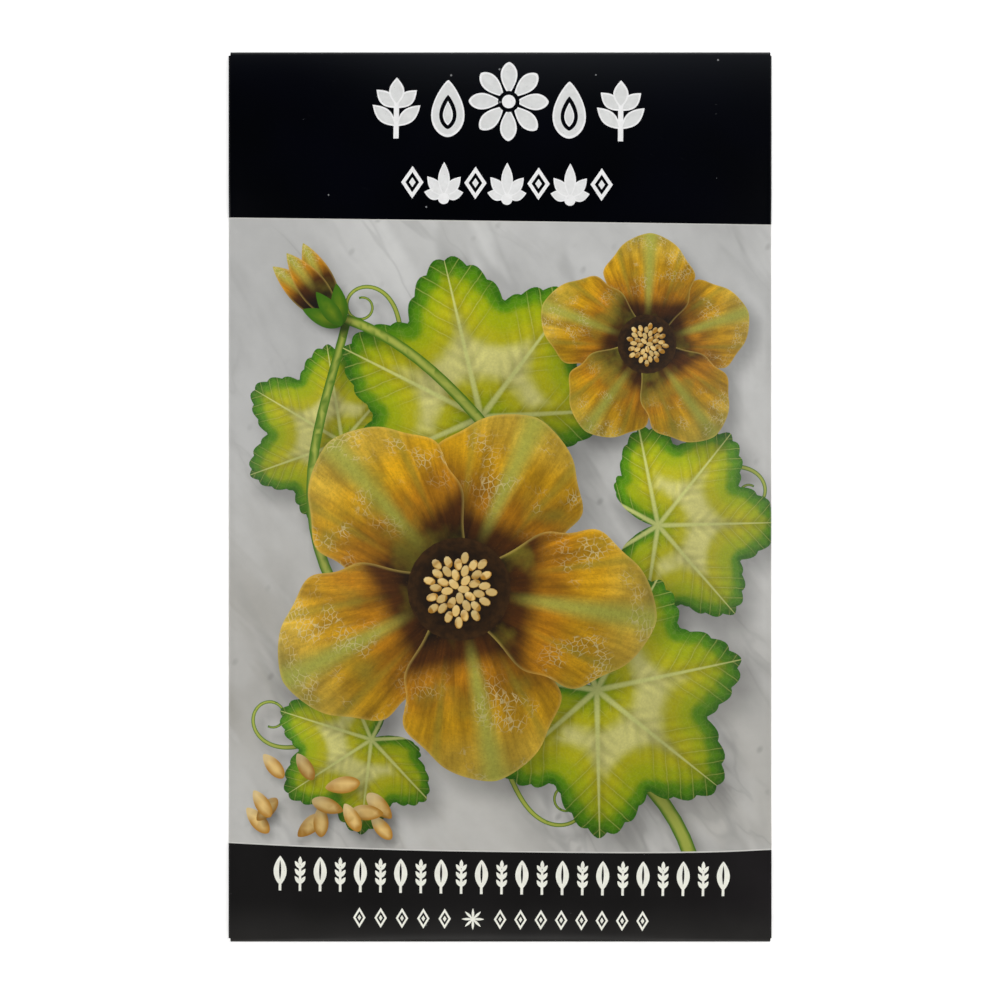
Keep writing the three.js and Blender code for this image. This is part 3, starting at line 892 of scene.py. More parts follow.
class Recipe(Nodes):
    """A material being built up over a ground colour, with short calls for the steps of its pattern."""

    def __init__(self, name, ground=None, roughness=0.38, specular=0.4):
        self.material = bpy.data.materials.new(name)
        self.material.use_nodes = True
        super().__init__(self.material.node_tree)
        self.shader = self.tree.nodes["Principled BSDF"]
        self.shader.inputs["Roughness"].default_value = roughness
        self.shader.inputs["Specular IOR Level"].default_value = specular
        self.shade = ground

    def do(self, operation, *terms):
        """One step of arithmetic."""
        return self.get("ShaderNodeMath", enumerate(terms), operation=operation)

    def times(self, product, *factors):
        """Values multiplied together."""
        for factor in factors:
            product = self.do("MULTIPLY", product, factor)
        return product

    def off(self, value, centre=None):
        """How far a value is from a centre, either way."""
        if centre is not None:
            value = self.do("SUBTRACT", value, centre)
        return self.do("ABSOLUTE", value)

    def swing(self, pattern, reach):
        """A pattern from 0 to 1 as a swing about 0."""
        return self.times(self.do("SUBTRACT", pattern, 0.5), reach)

    def attribute(self, name):
        """One of the mesh's own attributes as a vector, and its three numbers."""
        vector = self.get("ShaderNodeAttribute", output="Vector", attribute_name=name)
        return vector, *self.add("ShaderNodeSeparateXYZ", {"Vector": vector}).outputs

    def number(self, name):
        """A number that the mesh carries."""
        return self.get("ShaderNodeAttribute", output="Fac", attribute_name=name)

    def place(self):
        """The place on the object itself."""
        return self.get("ShaderNodeTexCoord", output="Object")

    def vector(self, x=0.0, y=0.0, z=0.0):
        """Three numbers as one vector."""
        return self.get("ShaderNodeCombineXYZ", {"X": x, "Y": y, "Z": z})

    def mapped(self, vector, scale=(1, 1, 1), turn=0.0):
        """The vector turned about Z and then stretched."""
        vector = self.get("ShaderNodeMapping", {"Vector": vector, "Rotation": (0, 0, turn)})
        return self.get("ShaderNodeMapping", {"Vector": vector, "Scale": scale})

    def noise(self, vector, scale, detail=3.0, roughness=0.5, distortion=0.0):
        """Soft random values from 0 to 1."""
        inputs = {"Vector": vector, "Scale": scale, "Detail": detail}
        inputs.update({"Roughness": roughness, "Distortion": distortion})
        return self.get("ShaderNodeTexNoise", inputs, "Fac")

    def cells(self, vector, scale, feature="F1", output="Distance", flat=False):
        """Distances in a random cell pattern, or a random colour for each cell."""
        settings = {"feature": feature, "voronoi_dimensions": "2D" if flat else "3D"}
        return self.get("ShaderNodeTexVoronoi", {"Vector": vector, "Scale": scale}, output, **settings)

    def rise(self, value, low, high, bottom=0.0, top=1.0):
        """A smooth change from bottom to top as the value goes from low to high."""
        inputs = {"Value": value, "From Min": low, "From Max": high, "To Min": bottom, "To Max": top}
        return self.get("ShaderNodeMapRange", inputs, interpolation_type="SMOOTHSTEP")

    def ramp(self, factor, *stops):
        """Starts the shade as a colour that changes with the factor, from stops of (place, colour)."""
        made = self.add("ShaderNodeValToRGB", {"Fac": factor})
        made.color_ramp.interpolation = "EASE"
        elements = made.color_ramp.elements
        while len(elements) < len(stops):
            elements.new(1.0)
        for element, (place, shade) in zip(elements, stops):
            element.position = place
            element.color = opaque(shade)
        self.shade = made.outputs["Color"]

    def paint(self, over, amount, blend="MIX"):
        """Lays a colour over the shade, as much as the amount says."""
        made = self.add("ShaderNodeMix", data_type="RGBA", blend_type=blend, clamp_factor=True)
        for socket, value in (("Factor", amount), (6, self.shade), (7, over)):
            self.feed(made.inputs[socket], value)
        self.shade = made.outputs[2]

    def light(self, factor):
        """Makes the shade darker or lighter by a factor that changes over the surface."""
        self.paint(self.vector(factor, factor, factor), 1.0, "MULTIPLY")

    def uneven(self, pattern, low, high, darkest, lightest):
        """Makes the shade darker or lighter as a pattern goes from low to high."""
        self.light(self.rise(pattern, low, high, darkest, lightest))

    def bump(self, height, distance, strength=1.0):
        """Lets a height pattern tilt the surface."""
        inputs = {"Height": height, "Distance": distance, "Strength": strength}
        self.feed(self.shader.inputs["Normal"], self.get("ShaderNodeBump", inputs))

    def mixed(self):
        """The finished material, with the shade as its colour."""
        self.feed(self.shader.inputs["Base Color"], self.shade)
        return self.material


PAPER_WHITE = "E8E6DF"
DUST = "B8BABC"
FOLD_FROM_SIDE = 0.1
FOLD_FROM_END = 0.3


def coated(recipe, dust=0.0, wear=0.1):
    """Finishes a printed material: cast shadows, worn ink along the folds, dust, and the paper's grain."""
    vector, s, t, _ = recipe.attribute("blank")
    recipe.light(recipe.attribute("shading")[1])
    sheet = bpy.context.scene.seed_packet_sheet
    from_side = recipe.off(recipe.off(s), sheet.width / MM / 2 - FOLD_FROM_SIDE)
    from_end = recipe.off(recipe.off(t), sheet.height / MM / 2 - FOLD_FROM_END)
    worn = recipe.rise(recipe.noise(vector, 0.5, 4, 0.65), 0.3, 0.75, 0.3, 1.0)
    close = recipe.rise(recipe.do("MINIMUM", from_side, from_end), 0.02, 0.3, wear, 0.0)
    recipe.paint(PAPER_WHITE, recipe.times(worn, close))
    if dust:
        spots, hues = (recipe.cells(vector, 0.27, output=name, flat=True) for name in ("Distance", "Color"))
        lucky = recipe.get("ShaderNodeSeparateColor", {"Color": hues}, "Red")
        specks = recipe.do("LESS_THAN", spots, recipe.rise(lucky, 0.86, 1.0, 0.0, 0.042))
        recipe.paint(DUST, recipe.times(specks, dust))
        streaks = recipe.noise(recipe.mapped(vector, (0.35, 2.6, 1), 0.5), 1.0, 5, 0.7, 0.6)
        patch = recipe.rise(recipe.noise(vector, 0.06, 1), 0.5, 0.7)
        recipe.paint(DUST, recipe.times(recipe.rise(streaks, 0.62, 0.78), patch, 0.02))
    recipe.bump(recipe.noise(vector, 2.6, 3, 0.6), 0.006 * MM, 0.5)
    return recipe.mixed()


def black_ink(inks):
    """Glossy black of the title band, with a painted sheen that greys it along its top, most of all in the
    middle.
    """
    recipe = Recipe("title_band_ink", inks.black, roughness=0.2, specular=0.2)
    vector, s, t, _ = recipe.attribute("blank")
    recipe.paint("02030A", recipe.rise(recipe.noise(vector, 0.05, 2), 0.35, 0.7))
    # Painted sheen: grey along the band's top, strongest in the middle and weaker at the sides.
    reach = recipe.rise(s, -34, -8, -2.0, -4.0)
    painted_sheen = recipe.do("EXPONENT", recipe.do("DIVIDE", recipe.off(t, 68.0), reach))
    left, right = recipe.rise(s, -36, -6, 0.42, 1.0), recipe.rise(s, 8, 40, 1.0, 0.8)
    recipe.paint("202226", recipe.times(painted_sheen, left, right))
    return coated(recipe, dust=0.5, wear=0.012)


def charcoal_ink(inks):
    """Charcoal of the foot band, lighter towards its right side, with a painted sheen that lightens it
    towards the packet's end.
    """
    recipe = Recipe("foot_band_ink", inks.charcoal, roughness=0.3, specular=0.1)
    vector, s, t, _ = recipe.attribute("blank")
    recipe.paint("292628", recipe.rise(s, 20, 42, 0.0, 0.42))
    # Painted sheen: lighter towards the packet's end, less so in the middle.
    aside = recipe.rise(recipe.off(s), 6, 32, 0.65, 1.0)
    recipe.paint("2C2B2A", recipe.times(recipe.rise(t, -61, -68), aside))
    recipe.uneven(recipe.noise(vector, 0.09, 3), 0.3, 0.7, 0.88, 1.1)
    return coated(recipe, dust=0.2, wear=0.012)


# Each set of veins: how many to the millimetre, their slant in degrees, width and strength
STONE_VEINS = ((0.036, 55, 0.34, 0.3), (0.07, 61, 0.2, 0.36), (0.12, 50, 0.11, 0.22))


def stone_ink(inks):
    """Pale grey stone with soft smudged veins running down to the right, and small dark flecks."""
    recipe = Recipe("stone_print", inks.stone_shade, roughness=0.36)
    vector, s, t, _ = recipe.attribute("blank")
    height = recipe.do("ADD", t, recipe.swing(recipe.noise(vector, 0.022, 3, 0.55), 90))
    recipe.paint(inks.stone, recipe.rise(height, -50, 40))
    recipe.uneven(recipe.off(s), 8, 40, 1.07, 0.985)
    glow = recipe.rise(recipe.off(s, -11.0), 4, 18, 0.8, 0.0)
    recipe.paint("E2E2DF", recipe.times(recipe.rise(t, 22, 40), glow))
    warm = recipe.rise(recipe.off(t, -24.0), 2, 18, 0.55, 0.0)
    recipe.paint("948F84", recipe.times(warm, recipe.rise(s, -28, -39)))
    for number, slant, width, strength in STONE_VEINS:
        turn = math.radians(slant)
        drift = recipe.noise(recipe.mapped(vector, (0.3 * number, number, 1), turn), 1.0, 3, 0.55, 0.5)
        ridge = recipe.do("PINGPONG", recipe.times(drift, 4.0), 0.5)
        patch = recipe.noise(recipe.mapped(vector, (0.5, 1, 1), turn), 0.05, 3, 0.6)
        recipe.paint("D6D6D4", recipe.rise(drift, 0.5, 0.6, 0.0, 0.22))
        smudge = recipe.rise(ridge, 0, width, strength, 0)
        recipe.paint(inks.vein, recipe.times(smudge, recipe.rise(patch, 0.42, 0.6)))
    recipe.uneven(recipe.noise(vector, 0.35, 4, 0.6), 0.25, 0.75, 0.97, 1.025)
    spots = recipe.cells(recipe.mapped(vector, (1, 0.7, 1), 0.6), 0.2, flat=True)
    lucky = recipe.rise(recipe.noise(vector, 0.09, 1), 0.5, 0.66, 0, 0.3)
    recipe.paint("5F5F5A", recipe.times(recipe.rise(spots, 0.02, 0.13, 1, 0), lucky))
    return coated(recipe)


def petal_ink(inks):
    """Golden petals: dark at the throat, ribbed and streaked along, with a fine pale net near the tip."""
    recipe = Recipe("petal_print")
    vector, x, y, edge = recipe.attribute("motif")
    _, _, lit, tint = recipe.attribute("shading")
    base = ((0.19, inks.throat), (0.32, "4E2A06"), (0.46, "BA7C0C"))
    recipe.ramp(x, *base, (0.68, inks.gold), (0.88, "D4AD34"), (1.0, "B09A3C"))
    fan = recipe.do("DIVIDE", y, recipe.do("ADD", x, 0.12))
    streaks = recipe.vector(recipe.times(fan, 9.0), x, tint)
    recipe.uneven(recipe.noise(streaks, 3.2, 4, 0.62), 0.28, 0.74, 0.78, 1.16)
    folds = recipe.vector(recipe.times(fan, 2.2), recipe.times(x, 1.1), tint)
    recipe.uneven(recipe.noise(folds, 3.0, 2), 0.3, 0.7, 0.62, 1.18)
    rib = recipe.rise(recipe.off(fan), 0.0, 0.11, 0.85, 0.0)
    recipe.paint("A8AC48", recipe.times(rib, recipe.rise(x, 0.22, 0.5)))
    side_rib = recipe.rise(recipe.off(recipe.off(fan), 0.3), 0.0, 0.05, 0.5, 0.0)
    recipe.paint(inks.olive, recipe.times(side_rib, recipe.rise(x, 0.3, 0.6)))
    clouds = recipe.noise(recipe.vector(x, y, tint), 3.4, 3)
    recipe.paint(inks.olive, recipe.rise(clouds, 0.5, 0.72, 0, 0.55))
    shifted = recipe.get("ShaderNodeVectorMath", {0: vector, 1: (3, 1, 0)})
    patch = recipe.noise(recipe.vector(x, y, recipe.do("ADD", tint, 2.0)), 4.5, 2)
    net = recipe.times(
        recipe.rise(recipe.cells(shifted, 29, "DISTANCE_TO_EDGE"), 0.02, 0.09, 0.6, 0),
        recipe.rise(patch, 0.5, 0.62),
        recipe.rise(x, 0.34, 0.6),
        recipe.rise(recipe.noise(shifted, 12, 2), 0.36, 0.5),
    )
    recipe.paint(inks.cork, net)
    recipe.uneven(recipe.noise(vector, 48, 3, 0.75), 0.25, 0.75, 0.84, 1.12)
    recipe.paint("6B4A10", recipe.rise(recipe.cells(vector, 52), 0.06, 0.22, 0.32, 0))
    recipe.paint("E6C768", recipe.rise(edge, 0.0, 0.018, 0.3, 0.0))
    recipe.uneven(lit, 0.15, 0.85, 0.8, 1.12)
    return coated(recipe)


SIDE_VEIN_SPACING = 0.055


def leaf_ink(inks):
    """Lobed leaves: a dark rim, a lime body and a pale heart, with ribs and side veins."""
    recipe = Recipe("leaf_print")
    vector, x, y, edge = recipe.attribute("motif")
    _, _, lit, tint = recipe.attribute("shading")
    wander = recipe.swing(recipe.noise(vector, 5, 3), 0.09)
    depth = recipe.times(recipe.do("ADD", edge, wander), 2.9)
    body = ((0.16, "568A00"), (0.37, inks.leaf_lime), (0.68, "B2AE0E"))
    recipe.ramp(depth, (0.0, inks.leaf_rim), *body, (1.0, inks.leaf_heart))
    off_rib = recipe.do("PINGPONG", recipe.off(recipe.do("ARCTAN2", y, x)), RIB_SPACING / 2)
    radius = recipe.do("SQRT", recipe.do("ADD", recipe.times(x, x), recipe.times(y, y)))
    beside = recipe.times(radius, recipe.do("SINE", off_rib))
    onwards = recipe.times(radius, recipe.do("COSINE", off_rib))
    slanted = recipe.do("SUBTRACT", onwards, recipe.times(beside, 0.95))
    bent = recipe.do("ADD", slanted, recipe.times(wander, 0.45))
    between = recipe.do("PINGPONG", bent, SIDE_VEIN_SPACING)
    crease = recipe.rise(between, 0.0, SIDE_VEIN_SPACING, 0.13, -0.09)
    apart = recipe.rise(off_rib, math.radians(11), math.radians(23), 1.0, 0.0)
    recipe.light(recipe.do("SUBTRACT", 1.0, recipe.times(crease, apart)))
    recipe.paint("C6C96A", recipe.times(recipe.rise(between, 0.0, 0.0075, 0.42, 0.0), apart))
    slender = recipe.do("DIVIDE", beside, recipe.do("SUBTRACT", 1.12, radius))
    recipe.uneven(beside, 0.02, 0.06, 0.82, 1.0)
    recipe.paint("CBCF7E", recipe.rise(slender, 0.006, 0.026, 0.82, 0.0))
    recipe.paint("C4C87C", recipe.rise(recipe.cells(vector, 24, "DISTANCE_TO_EDGE"), 0.01, 0.07, 0.08, 0))
    recipe.uneven(recipe.noise(vector, 60, 2, 0.7), 0.3, 0.7, 0.93, 1.05)
    recipe.uneven(lit, 0.1, 0.9, 0.74, 1.14)
    recipe.uneven(recipe.noise(vector, 2.4, 3), 0.3, 0.7, 0.88, 1.1)
    recipe.uneven(tint, 0.0, 1.0, 0.9, 1.08)
    return coated(recipe)


def vine_ink(name, rim, heart):
    """Stalks, tendrils and a bud's cup, lighter towards the light."""
    recipe = Recipe(name, rim)
    streaks = recipe.noise(recipe.attribute("blank")[0], 0.5, 3, 0.5)
    depth = recipe.do("ADD", recipe.attribute("motif")[3], recipe.swing(streaks, 0.12))
    recipe.paint(heart, recipe.rise(depth, 0.0, 0.42))
    recipe.uneven(recipe.attribute("shading")[2], 0.1, 0.9, 0.88, 1.1)
    return coated(recipe)


def throat_ink(inks):
    """The blossom's dark heart, brownest at its rim."""
    recipe = Recipe("throat_print", "34200A")
    vector, _, _, edge = recipe.attribute("motif")
    recipe.paint(inks.throat, recipe.rise(edge, 0.0, 0.4))
    recipe.uneven(recipe.noise(vector, 6, 3), 0.3, 0.7, 0.7, 1.5)
    return coated(recipe)


def kernel_ink(inks):
    """Drawn seeds and stamens: pale in the middle, amber at the rim."""
    recipe = Recipe("kernel_print", "B07C28")
    _, _, lit, tint = recipe.attribute("shading")
    recipe.paint(inks.kernel, recipe.rise(recipe.attribute("motif")[3], 0.0, 0.2))
    recipe.paint("F2E0A8", recipe.rise(lit, 0.5, 1.0, 0, 0.6))
    recipe.uneven(tint, 0, 1, 0.8, 1.08)
    return coated(recipe)


def plain_ink(name, ground, spot, roughness=0.5):
    """An even printed colour with a faint mottle."""
    recipe = Recipe(name, ground, roughness)
    cloud = recipe.noise(recipe.attribute("blank")[0], 0.4, 4, 0.6)
    recipe.paint(spot, recipe.rise(cloud, 0.3, 0.75))
    return coated(recipe)


def bare_paper(inks, name):
    """Unprinted paper with its fibres."""
    recipe = Recipe(name, "DAD7CC", roughness=0.75, specular=0.3)
    along = recipe.mapped(recipe.attribute("blank")[0], (0.6, 3.0, 1), 0.4)
    fibres = recipe.noise(along, 1.2, 4, 0.7, 0.5)
    recipe.paint(inks.bare_paper, recipe.rise(fibres, 0.3, 0.75))
    recipe.bump(fibres, 0.01 * MM, 0.6)
    return recipe.mixed()


def print_inks(inks):
    """The sheet's materials by the short name that each printed shape gives."""
    return {
        "stone": stone_ink(inks),
        "petal": petal_ink(inks),
        "leaf": leaf_ink(inks),
        "blade": vine_ink("cup_print", "3C6D08", "93A61E"),
        "vine": vine_ink("vine_print", "44720E", "A9B24C"),
        "throat": throat_ink(inks),
        "kernel": kernel_ink(inks),
        "black": black_ink(inks),
        "charcoal": charcoal_ink(inks),
        "rule": plain_ink("rule_print", "DAD9D4", "CFCEC8", 0.38),
        "back": plain_ink("back_ground_print", inks.back_ground, "DDD8C8"),
        "leaf_line": plain_ink("frame_print", "3F6A1C", "4F7A28", 0.45),
        "note_line": plain_ink("note_line_print", "8D8A7C", "9A968A"),
        "bare": bare_paper(inks, "bare_flap"),
        "inside": bare_paper(inks, "bare_inside"),
        "cut_edge": bare_paper(inks, "cut_edge"),
    }


# Finishing pieces

def placed(name, data):
    """An object in the scene."""
    made = bpy.data.objects.new(name, data)
    bpy.context.scene.collection.objects.link(made)
    return made


def finished(name, mesh, slot, *nodes):
    """A piece from its mesh, on the packet's one body, in the place of these frame nodes."""
    piece = placed(name, mesh)
    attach(piece, "root")
    if nodes:
        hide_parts(*nodes)


class SEEDPACKET_OT_envelope(Operator):
    """Fold the printed sheet into the envelope."""

    bl_idname = "seed_packet.envelope"
    bl_label = "Printed envelope"

    def execute(self, context):
        """Draws the print flat and folds it."""
        sheet = FoldedSheet(context.scene.seed_packet_sheet)
        sizes = context.scene.seed_packet_print
        flat = FlatPrint(sheet, whole_print(sheet, sizes))
        mesh = fold_print(sheet, flat, print_inks(sizes))
        finished("printed_envelope", mesh, "printed_paper", ENVELOPE_NODE)
        return {"FINISHED"}


GLUE_SINK = 0.03
GLUE_GRID = (6.0, 1.0)
END_GLUE_HALF_WIDTH = 33.0
END_GLUE_MARGIN = 2.5
SIDE_GLUE_WIDTH = 6.0
SIDE_GLUE_FROM_EDGE = 1.5
SIDE_GLUE_END_MARGIN = 4.0


def grid_solid(upper, lower):
    """Corners and faces of a solid from two like grids of points, its upper and its lower side."""
    rows, columns = upper.shape[:2]
    number = np.arange(rows * columns).reshape(rows, columns)
    square = [number[:-1, :-1], number[:-1, 1:], number[1:, 1:], number[1:, :-1]]
    quads = np.stack(square, -1).reshape(-1, 4)
    rim = np.concatenate([number[0, :-1], number[:-1, -1], number[-1, :0:-1], number[:0:-1, 0]])
    onwards = np.roll(rim, -1)
    count = rows * columns
    walls = np.stack([rim, rim + count, onwards + count, onwards], 1)
    points = np.concatenate([upper.reshape(-1, 3), lower.reshape(-1, 3)])
    return points, [*quads.tolist(), *(quads[:, ::-1] + count).tolist(), *walls.tolist()]


def glue_white():
    """Dried white glue, streaked along its line."""
    recipe = Recipe("dried_glue", "E8E3D0", roughness=0.3, specular=0.5)
    streaks = recipe.noise(recipe.mapped(recipe.place(), (900, 200, 900)), 1.0, 3)
    recipe.paint("F4F1E6", recipe.rise(streaks, 0.3, 0.7))
    recipe.bump(streaks, 0.02 * MM)
    return recipe.mixed()


class SEEDPACKET_OT_glue(Operator):
    """Lay the three glue lines between the layers of paper."""

    bl_idname = "seed_packet.glue"
    bl_label = "Glue lines"

    def execute(self, context):
        """Makes the two end lines and the side line, each following the layers that it joins."""
        sizes = context.scene.seed_packet_sheet
        sheet = FoldedSheet(sizes)
        half = sheet.paper / 2
        points, faces = [], []

        def line(xs, ys, low, high):
            x, y = np.meshgrid(*(evenly(*ends, step) for ends, step in zip((xs, ys), GLUE_GRID)))
            upper = np.stack([x, y, high(y) + GLUE_SINK], -1)
            lower = np.stack([x, y, low(y) - GLUE_SINK], -1)
            corners, sides = grid_solid(upper, lower)
            faces.extend([[len(points) + corner for corner in side] for side in sides])
            points.extend((corners * MM).tolist())

        for end, flap_depth in ((1, sheet.top_flap), (-1, sheet.bottom_flap)):
            near = sheet.height / 2 - flap_depth + END_GLUE_MARGIN
            far = sheet.height / 2 - END_GLUE_MARGIN
            line(
                (-END_GLUE_HALF_WIDTH, END_GLUE_HALF_WIDTH),
                sorted((near * end, far * end)),
                lambda y: np.full_like(y, sheet.paper),
                lambda y: sheet.back_height(y) - half,
            )
        x_from = sheet.width / 2 - sizes.side_flap / MM + SIDE_GLUE_FROM_EDGE
        reach = sheet.height / 2 - SIDE_GLUE_END_MARGIN
        line(
            (x_from, x_from + SIDE_GLUE_WIDTH),
            (-reach, reach),
            lambda y: sheet.back_height(y) + half,
            lambda y: sheet.back_height(y) + sheet.layer_step - half,
        )
        mesh = bpy.data.meshes.new("glue_lines")
        mesh.from_pydata(points, [], faces)
        mesh.materials.append(glue_white())
        finished("glue_lines", mesh, "printed_paper")
        return {"FINISHED"}


# Pieces that repeat

class Layout(Nodes):
    """A Geometry Nodes tree with named inputs."""

    def __init__(self, name, **inputs):
        super().__init__(bpy.data.node_groups.new(name, "GeometryNodeTree"))
        for side in ("INPUT", "OUTPUT"):
            self.tree.interface.new_socket("Geometry", in_out=side, socket_type="NodeSocketGeometry")
        for label, kind in inputs.items():
            self.tree.interface.new_socket(label, in_out="INPUT", socket_type="NodeSocket" + kind)
        self.given = self.add("NodeGroupInput").outputs
        self.result = self.add("NodeGroupOutput").inputs[0]

    def shape(self, label):
        """The geometry of an object that the tree is given."""
        return self.get("GeometryNodeObjectInfo", {"Object": self.given[label]}, "Geometry")

    def copies(self, points, label, turn):
        """Real copies of a given object on points."""
        laid_out = {"Points": points, "Instance": self.shape(label), "Rotation": turn}
        placed_copies = self.get("GeometryNodeInstanceOnPoints", laid_out)
        return self.get("GeometryNodeRealizeInstances", {"Geometry": placed_copies})

    def coloured(self, geometry, label):
        """The geometry in a given material."""
        return self.get("GeometryNodeSetMaterial", {"Geometry": geometry, "Material": self.given[label]})

    def grow(self, carrier, values):
        """Adds the tree to an object as a modifier, with a value for each named input."""
        modifier = carrier.modifiers.new(self.tree.name, "NODES")
        modifier.node_group = self.tree
        for item in self.tree.interface.items_tree:
            if item.name in values:
                modifier[item.identifier] = values[item.name]


def grown(name, carrier, helpers):
    """The result of the carrier's trees as a plain mesh, once its helpers are cleared away."""
    bpy.context.view_layer.update()
    mesh = bpy.data.meshes.new_from_object(carrier.evaluated_get(bpy.context.evaluated_depsgraph_get()))
    mesh.name = name
    for used in (carrier, *helpers):
        bpy.data.objects.remove(used)
    return mesh


SEED_TIP_NARROWING = 0.42
SEED_TIP_SHARPNESS = 1.5


def seed_shape(sizes):
    """One flat seed with its narrow tip towards +X, in metres."""
    sides, rings = sizes.sides, sizes.rings
    points, faces = [(-1, 0, 0)], []
    for ring in range(1, rings):
        along = -math.cos(math.pi * ring / rings)
        reach = math.sin(math.pi * ring / rings)
        for side in range(sides):
            angle = 2 * math.pi * side / sides
            points.append((along, reach * math.cos(angle), reach * math.sin(angle)))
    points.append((1, 0, 0))
    for side in range(sides):
        onwards = (side + 1) % sides
        faces.append((0, 1 + onwards, 1 + side))
        last = 1 + (rings - 2) * sides
        faces.append((len(points) - 1, last + side, last + onwards))
        for ring in range(rings - 2):
            low, high = 1 + ring * sides, 1 + (ring + 1) * sides
            faces.append((low + side, low + onwards, high + onwards, high + side))
    own = np.array(points, float)
    narrowing = 1 - SEED_TIP_NARROWING * np.maximum(0, own[:, 0]) ** SEED_TIP_SHARPNESS
    scaled = own * (np.array([sizes.seed_length, sizes.seed_width, sizes.seed_thickness]) / 2)
    scaled[:, 1:] *= narrowing[:, None]
    mesh = bpy.data.meshes.new("seed_shape")
    mesh.from_pydata(scaled.tolist(), [], faces)
    mesh.polygons.foreach_set("use_smooth", [True] * len(faces))
    write_vectors(mesh, "own_place", "POINT", own)
    return mesh


def seed_lie(name):
    """The middle of a seed in the frame, and its turn about each axis, with its tip towards its own +X."""
    points = np.array([tuple(vertex.co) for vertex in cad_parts[name].data.vertices])
    points = np.unique(points.round(7), axis=0)
    away = points - points.mean(0)
    _, _, (along, across, _) = np.linalg.svd(away, full_matrices=False)
    reach = away @ along
    middle_reach = (reach.min() + reach.max()) / 2
    from_axis = np.abs(away @ across)
    ahead, behind = from_axis[reach > middle_reach], from_axis[reach < middle_reach]
    if ahead.max() > behind.max() or ahead.mean() > behind.mean():
        along = -along
    up = np.cross(along, across)
    if up[2] < 0:
        up = -up
    turn = Matrix((along, np.cross(up, along), up)).transposed().to_euler()
    low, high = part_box(name)
    return (low + high) / 2, turn


def seed_coat(sizes):
    """Smooth tan seed coats, darker at the rim and the tip, with fine streaks along them."""
    recipe = Recipe("seed_coat", sizes.coat, roughness=0.42, specular=0.45)
    place, along, _, up = recipe.attribute("own_place")
    streaks = recipe.noise(recipe.mapped(place, (1.5, 14, 14)), 1.0, 4)
    rim, tip = recipe.rise(recipe.off(up), 0.0, 0.3, 0.75, 0.0), recipe.rise(along, 0.6, 1.0, 0.0, 0.7)
    recipe.paint(sizes.coat_edge, recipe.do("MAXIMUM", rim, tip))
    recipe.uneven(streaks, 0.3, 0.7, 0.88, 1.06)
    recipe.uneven(recipe.number("seed_tint"), 0.0, 1.0, 0.85, 1.05)
    recipe.bump(streaks, 0.03 * MM)
    return recipe.mixed()


class SEEDPACKET_OT_seeds(Operator):
    """Fill the packet with its loose seeds."""

    bl_idname = "seed_packet.seeds"
    bl_label = "Seeds"

    def execute(self, context):
        """Copies one seed onto the place and turn of each seed in the frame."""
        sizes = context.scene.seed_packet_seeds
        lies = [seed_lie(name) for name in SEED_NODES]
        rng = random.Random(3)
        mesh = bpy.data.meshes.new("seed_places")
        mesh.from_pydata([tuple(middle) for middle, _ in lies], [], [])
        write_vectors(mesh, "seed_turn", "POINT", [tuple(turn) for _, turn in lies])
        write_numbers(mesh, "seed_tint", "POINT", [rng.random() for _ in lies])

        layout = Layout("Seeds", Seed="Object", Coat="Material")
        turn = layout.get("GeometryNodeInputNamedAttribute", {"Name": "seed_turn"}, data_type="FLOAT_VECTOR")
        copies = layout.copies(layout.given["Geometry"], "Seed", turn)
        layout.feed(layout.result, layout.coloured(copies, "Coat"))

        carrier = placed("seed_places", mesh)
        shape = placed("seed_shape", seed_shape(sizes))
        layout.grow(carrier, {"Seed": shape, "Coat": seed_coat(sizes)})
        finished("seeds", grown("seeds", carrier, [shape]), "seed_coat", *SEED_NODES)
        return {"FINISHED"}


# Pale ink ornaments in the two bands: each is a list of (tone, outline), the later over the earlier

TONES = {"rim": 0.0, "pale": 0.5, "fill": 1.0}
PLATE_SINK = 0.01
PLATE_GRID = 1.4
ORNAMENT_RIM = 0.26


def laid(outline, at=(0.0, 0.0), degrees=90.0):
    """An outline turned, upright where no angle is given, and moved."""
    return turned(outline, math.radians(degrees)) + np.array(at)


def inlaid(size, half_width, at, degrees=90.0, rim=ORNAMENT_RIM, swell=1.0, fullness=0.95, fill="fill"):
    """A small leaf with a brighter rim."""
    outer = laid(blade(size, half_width, swell, fullness, points=20), at, degrees)
    inner = blade(size - 3 * rim, half_width - rim, swell, fullness, points=16)
    inwards = 1.5 * rim * heading(math.radians(degrees))
    return [("rim", outer), (fill, laid(inner, np.array(at) + inwards, degrees))]


def sprout(height):
    """An upright stalk with two pairs of leaves and one at its top."""
    shapes = [("rim", rectangle(-0.4, -height / 2, 0.4, height * 0.15))]
    for share, size in ((-0.3, 0.52), (0.0, 0.44)):
        for lean in (-48, 48):
            shapes += inlaid(size * height, 0.115 * height, (0, share * height), 90 + lean)
    return shapes + inlaid(0.46 * height, 0.125 * height, (0, 0.04 * height))


def seed_drop(height):
    """A seed with its kernel, point upwards."""
    shapes = inlaid(height, 0.29 * height, (0, -height / 2), swell=0.72, fullness=0.75)
    shapes.append(("hole", laid(blade(0.6 * height, 0.15 * height, 0.78), (0, -0.36 * height))))
    return shapes + inlaid(0.42 * height, 0.085 * height, (0, -0.29 * height), rim=0.16, swell=0.8)


def rosette(size):
    """A round flower of eight petals round an eye."""
    shapes = []
    for degrees in range(0, 360, 45):
        at = heading(math.radians(degrees)) * 0.09 * size
        shapes += inlaid(0.41 * size, 0.105 * size, at, degrees, swell=1.4, fullness=0.6)
    return shapes + [("hole", round_shape(0.135 * size)), ("rim", round_shape(0.085 * size))]


def lozenge(height, width):
    """A diamond with an open middle and a dot in it."""
    corners = np.array([(0, -height / 2), (width / 2, 0), (0, height / 2), (-width / 2, 0)])
    return [("rim", corners), ("hole", corners * 0.62), ("pale", corners * 0.3)]


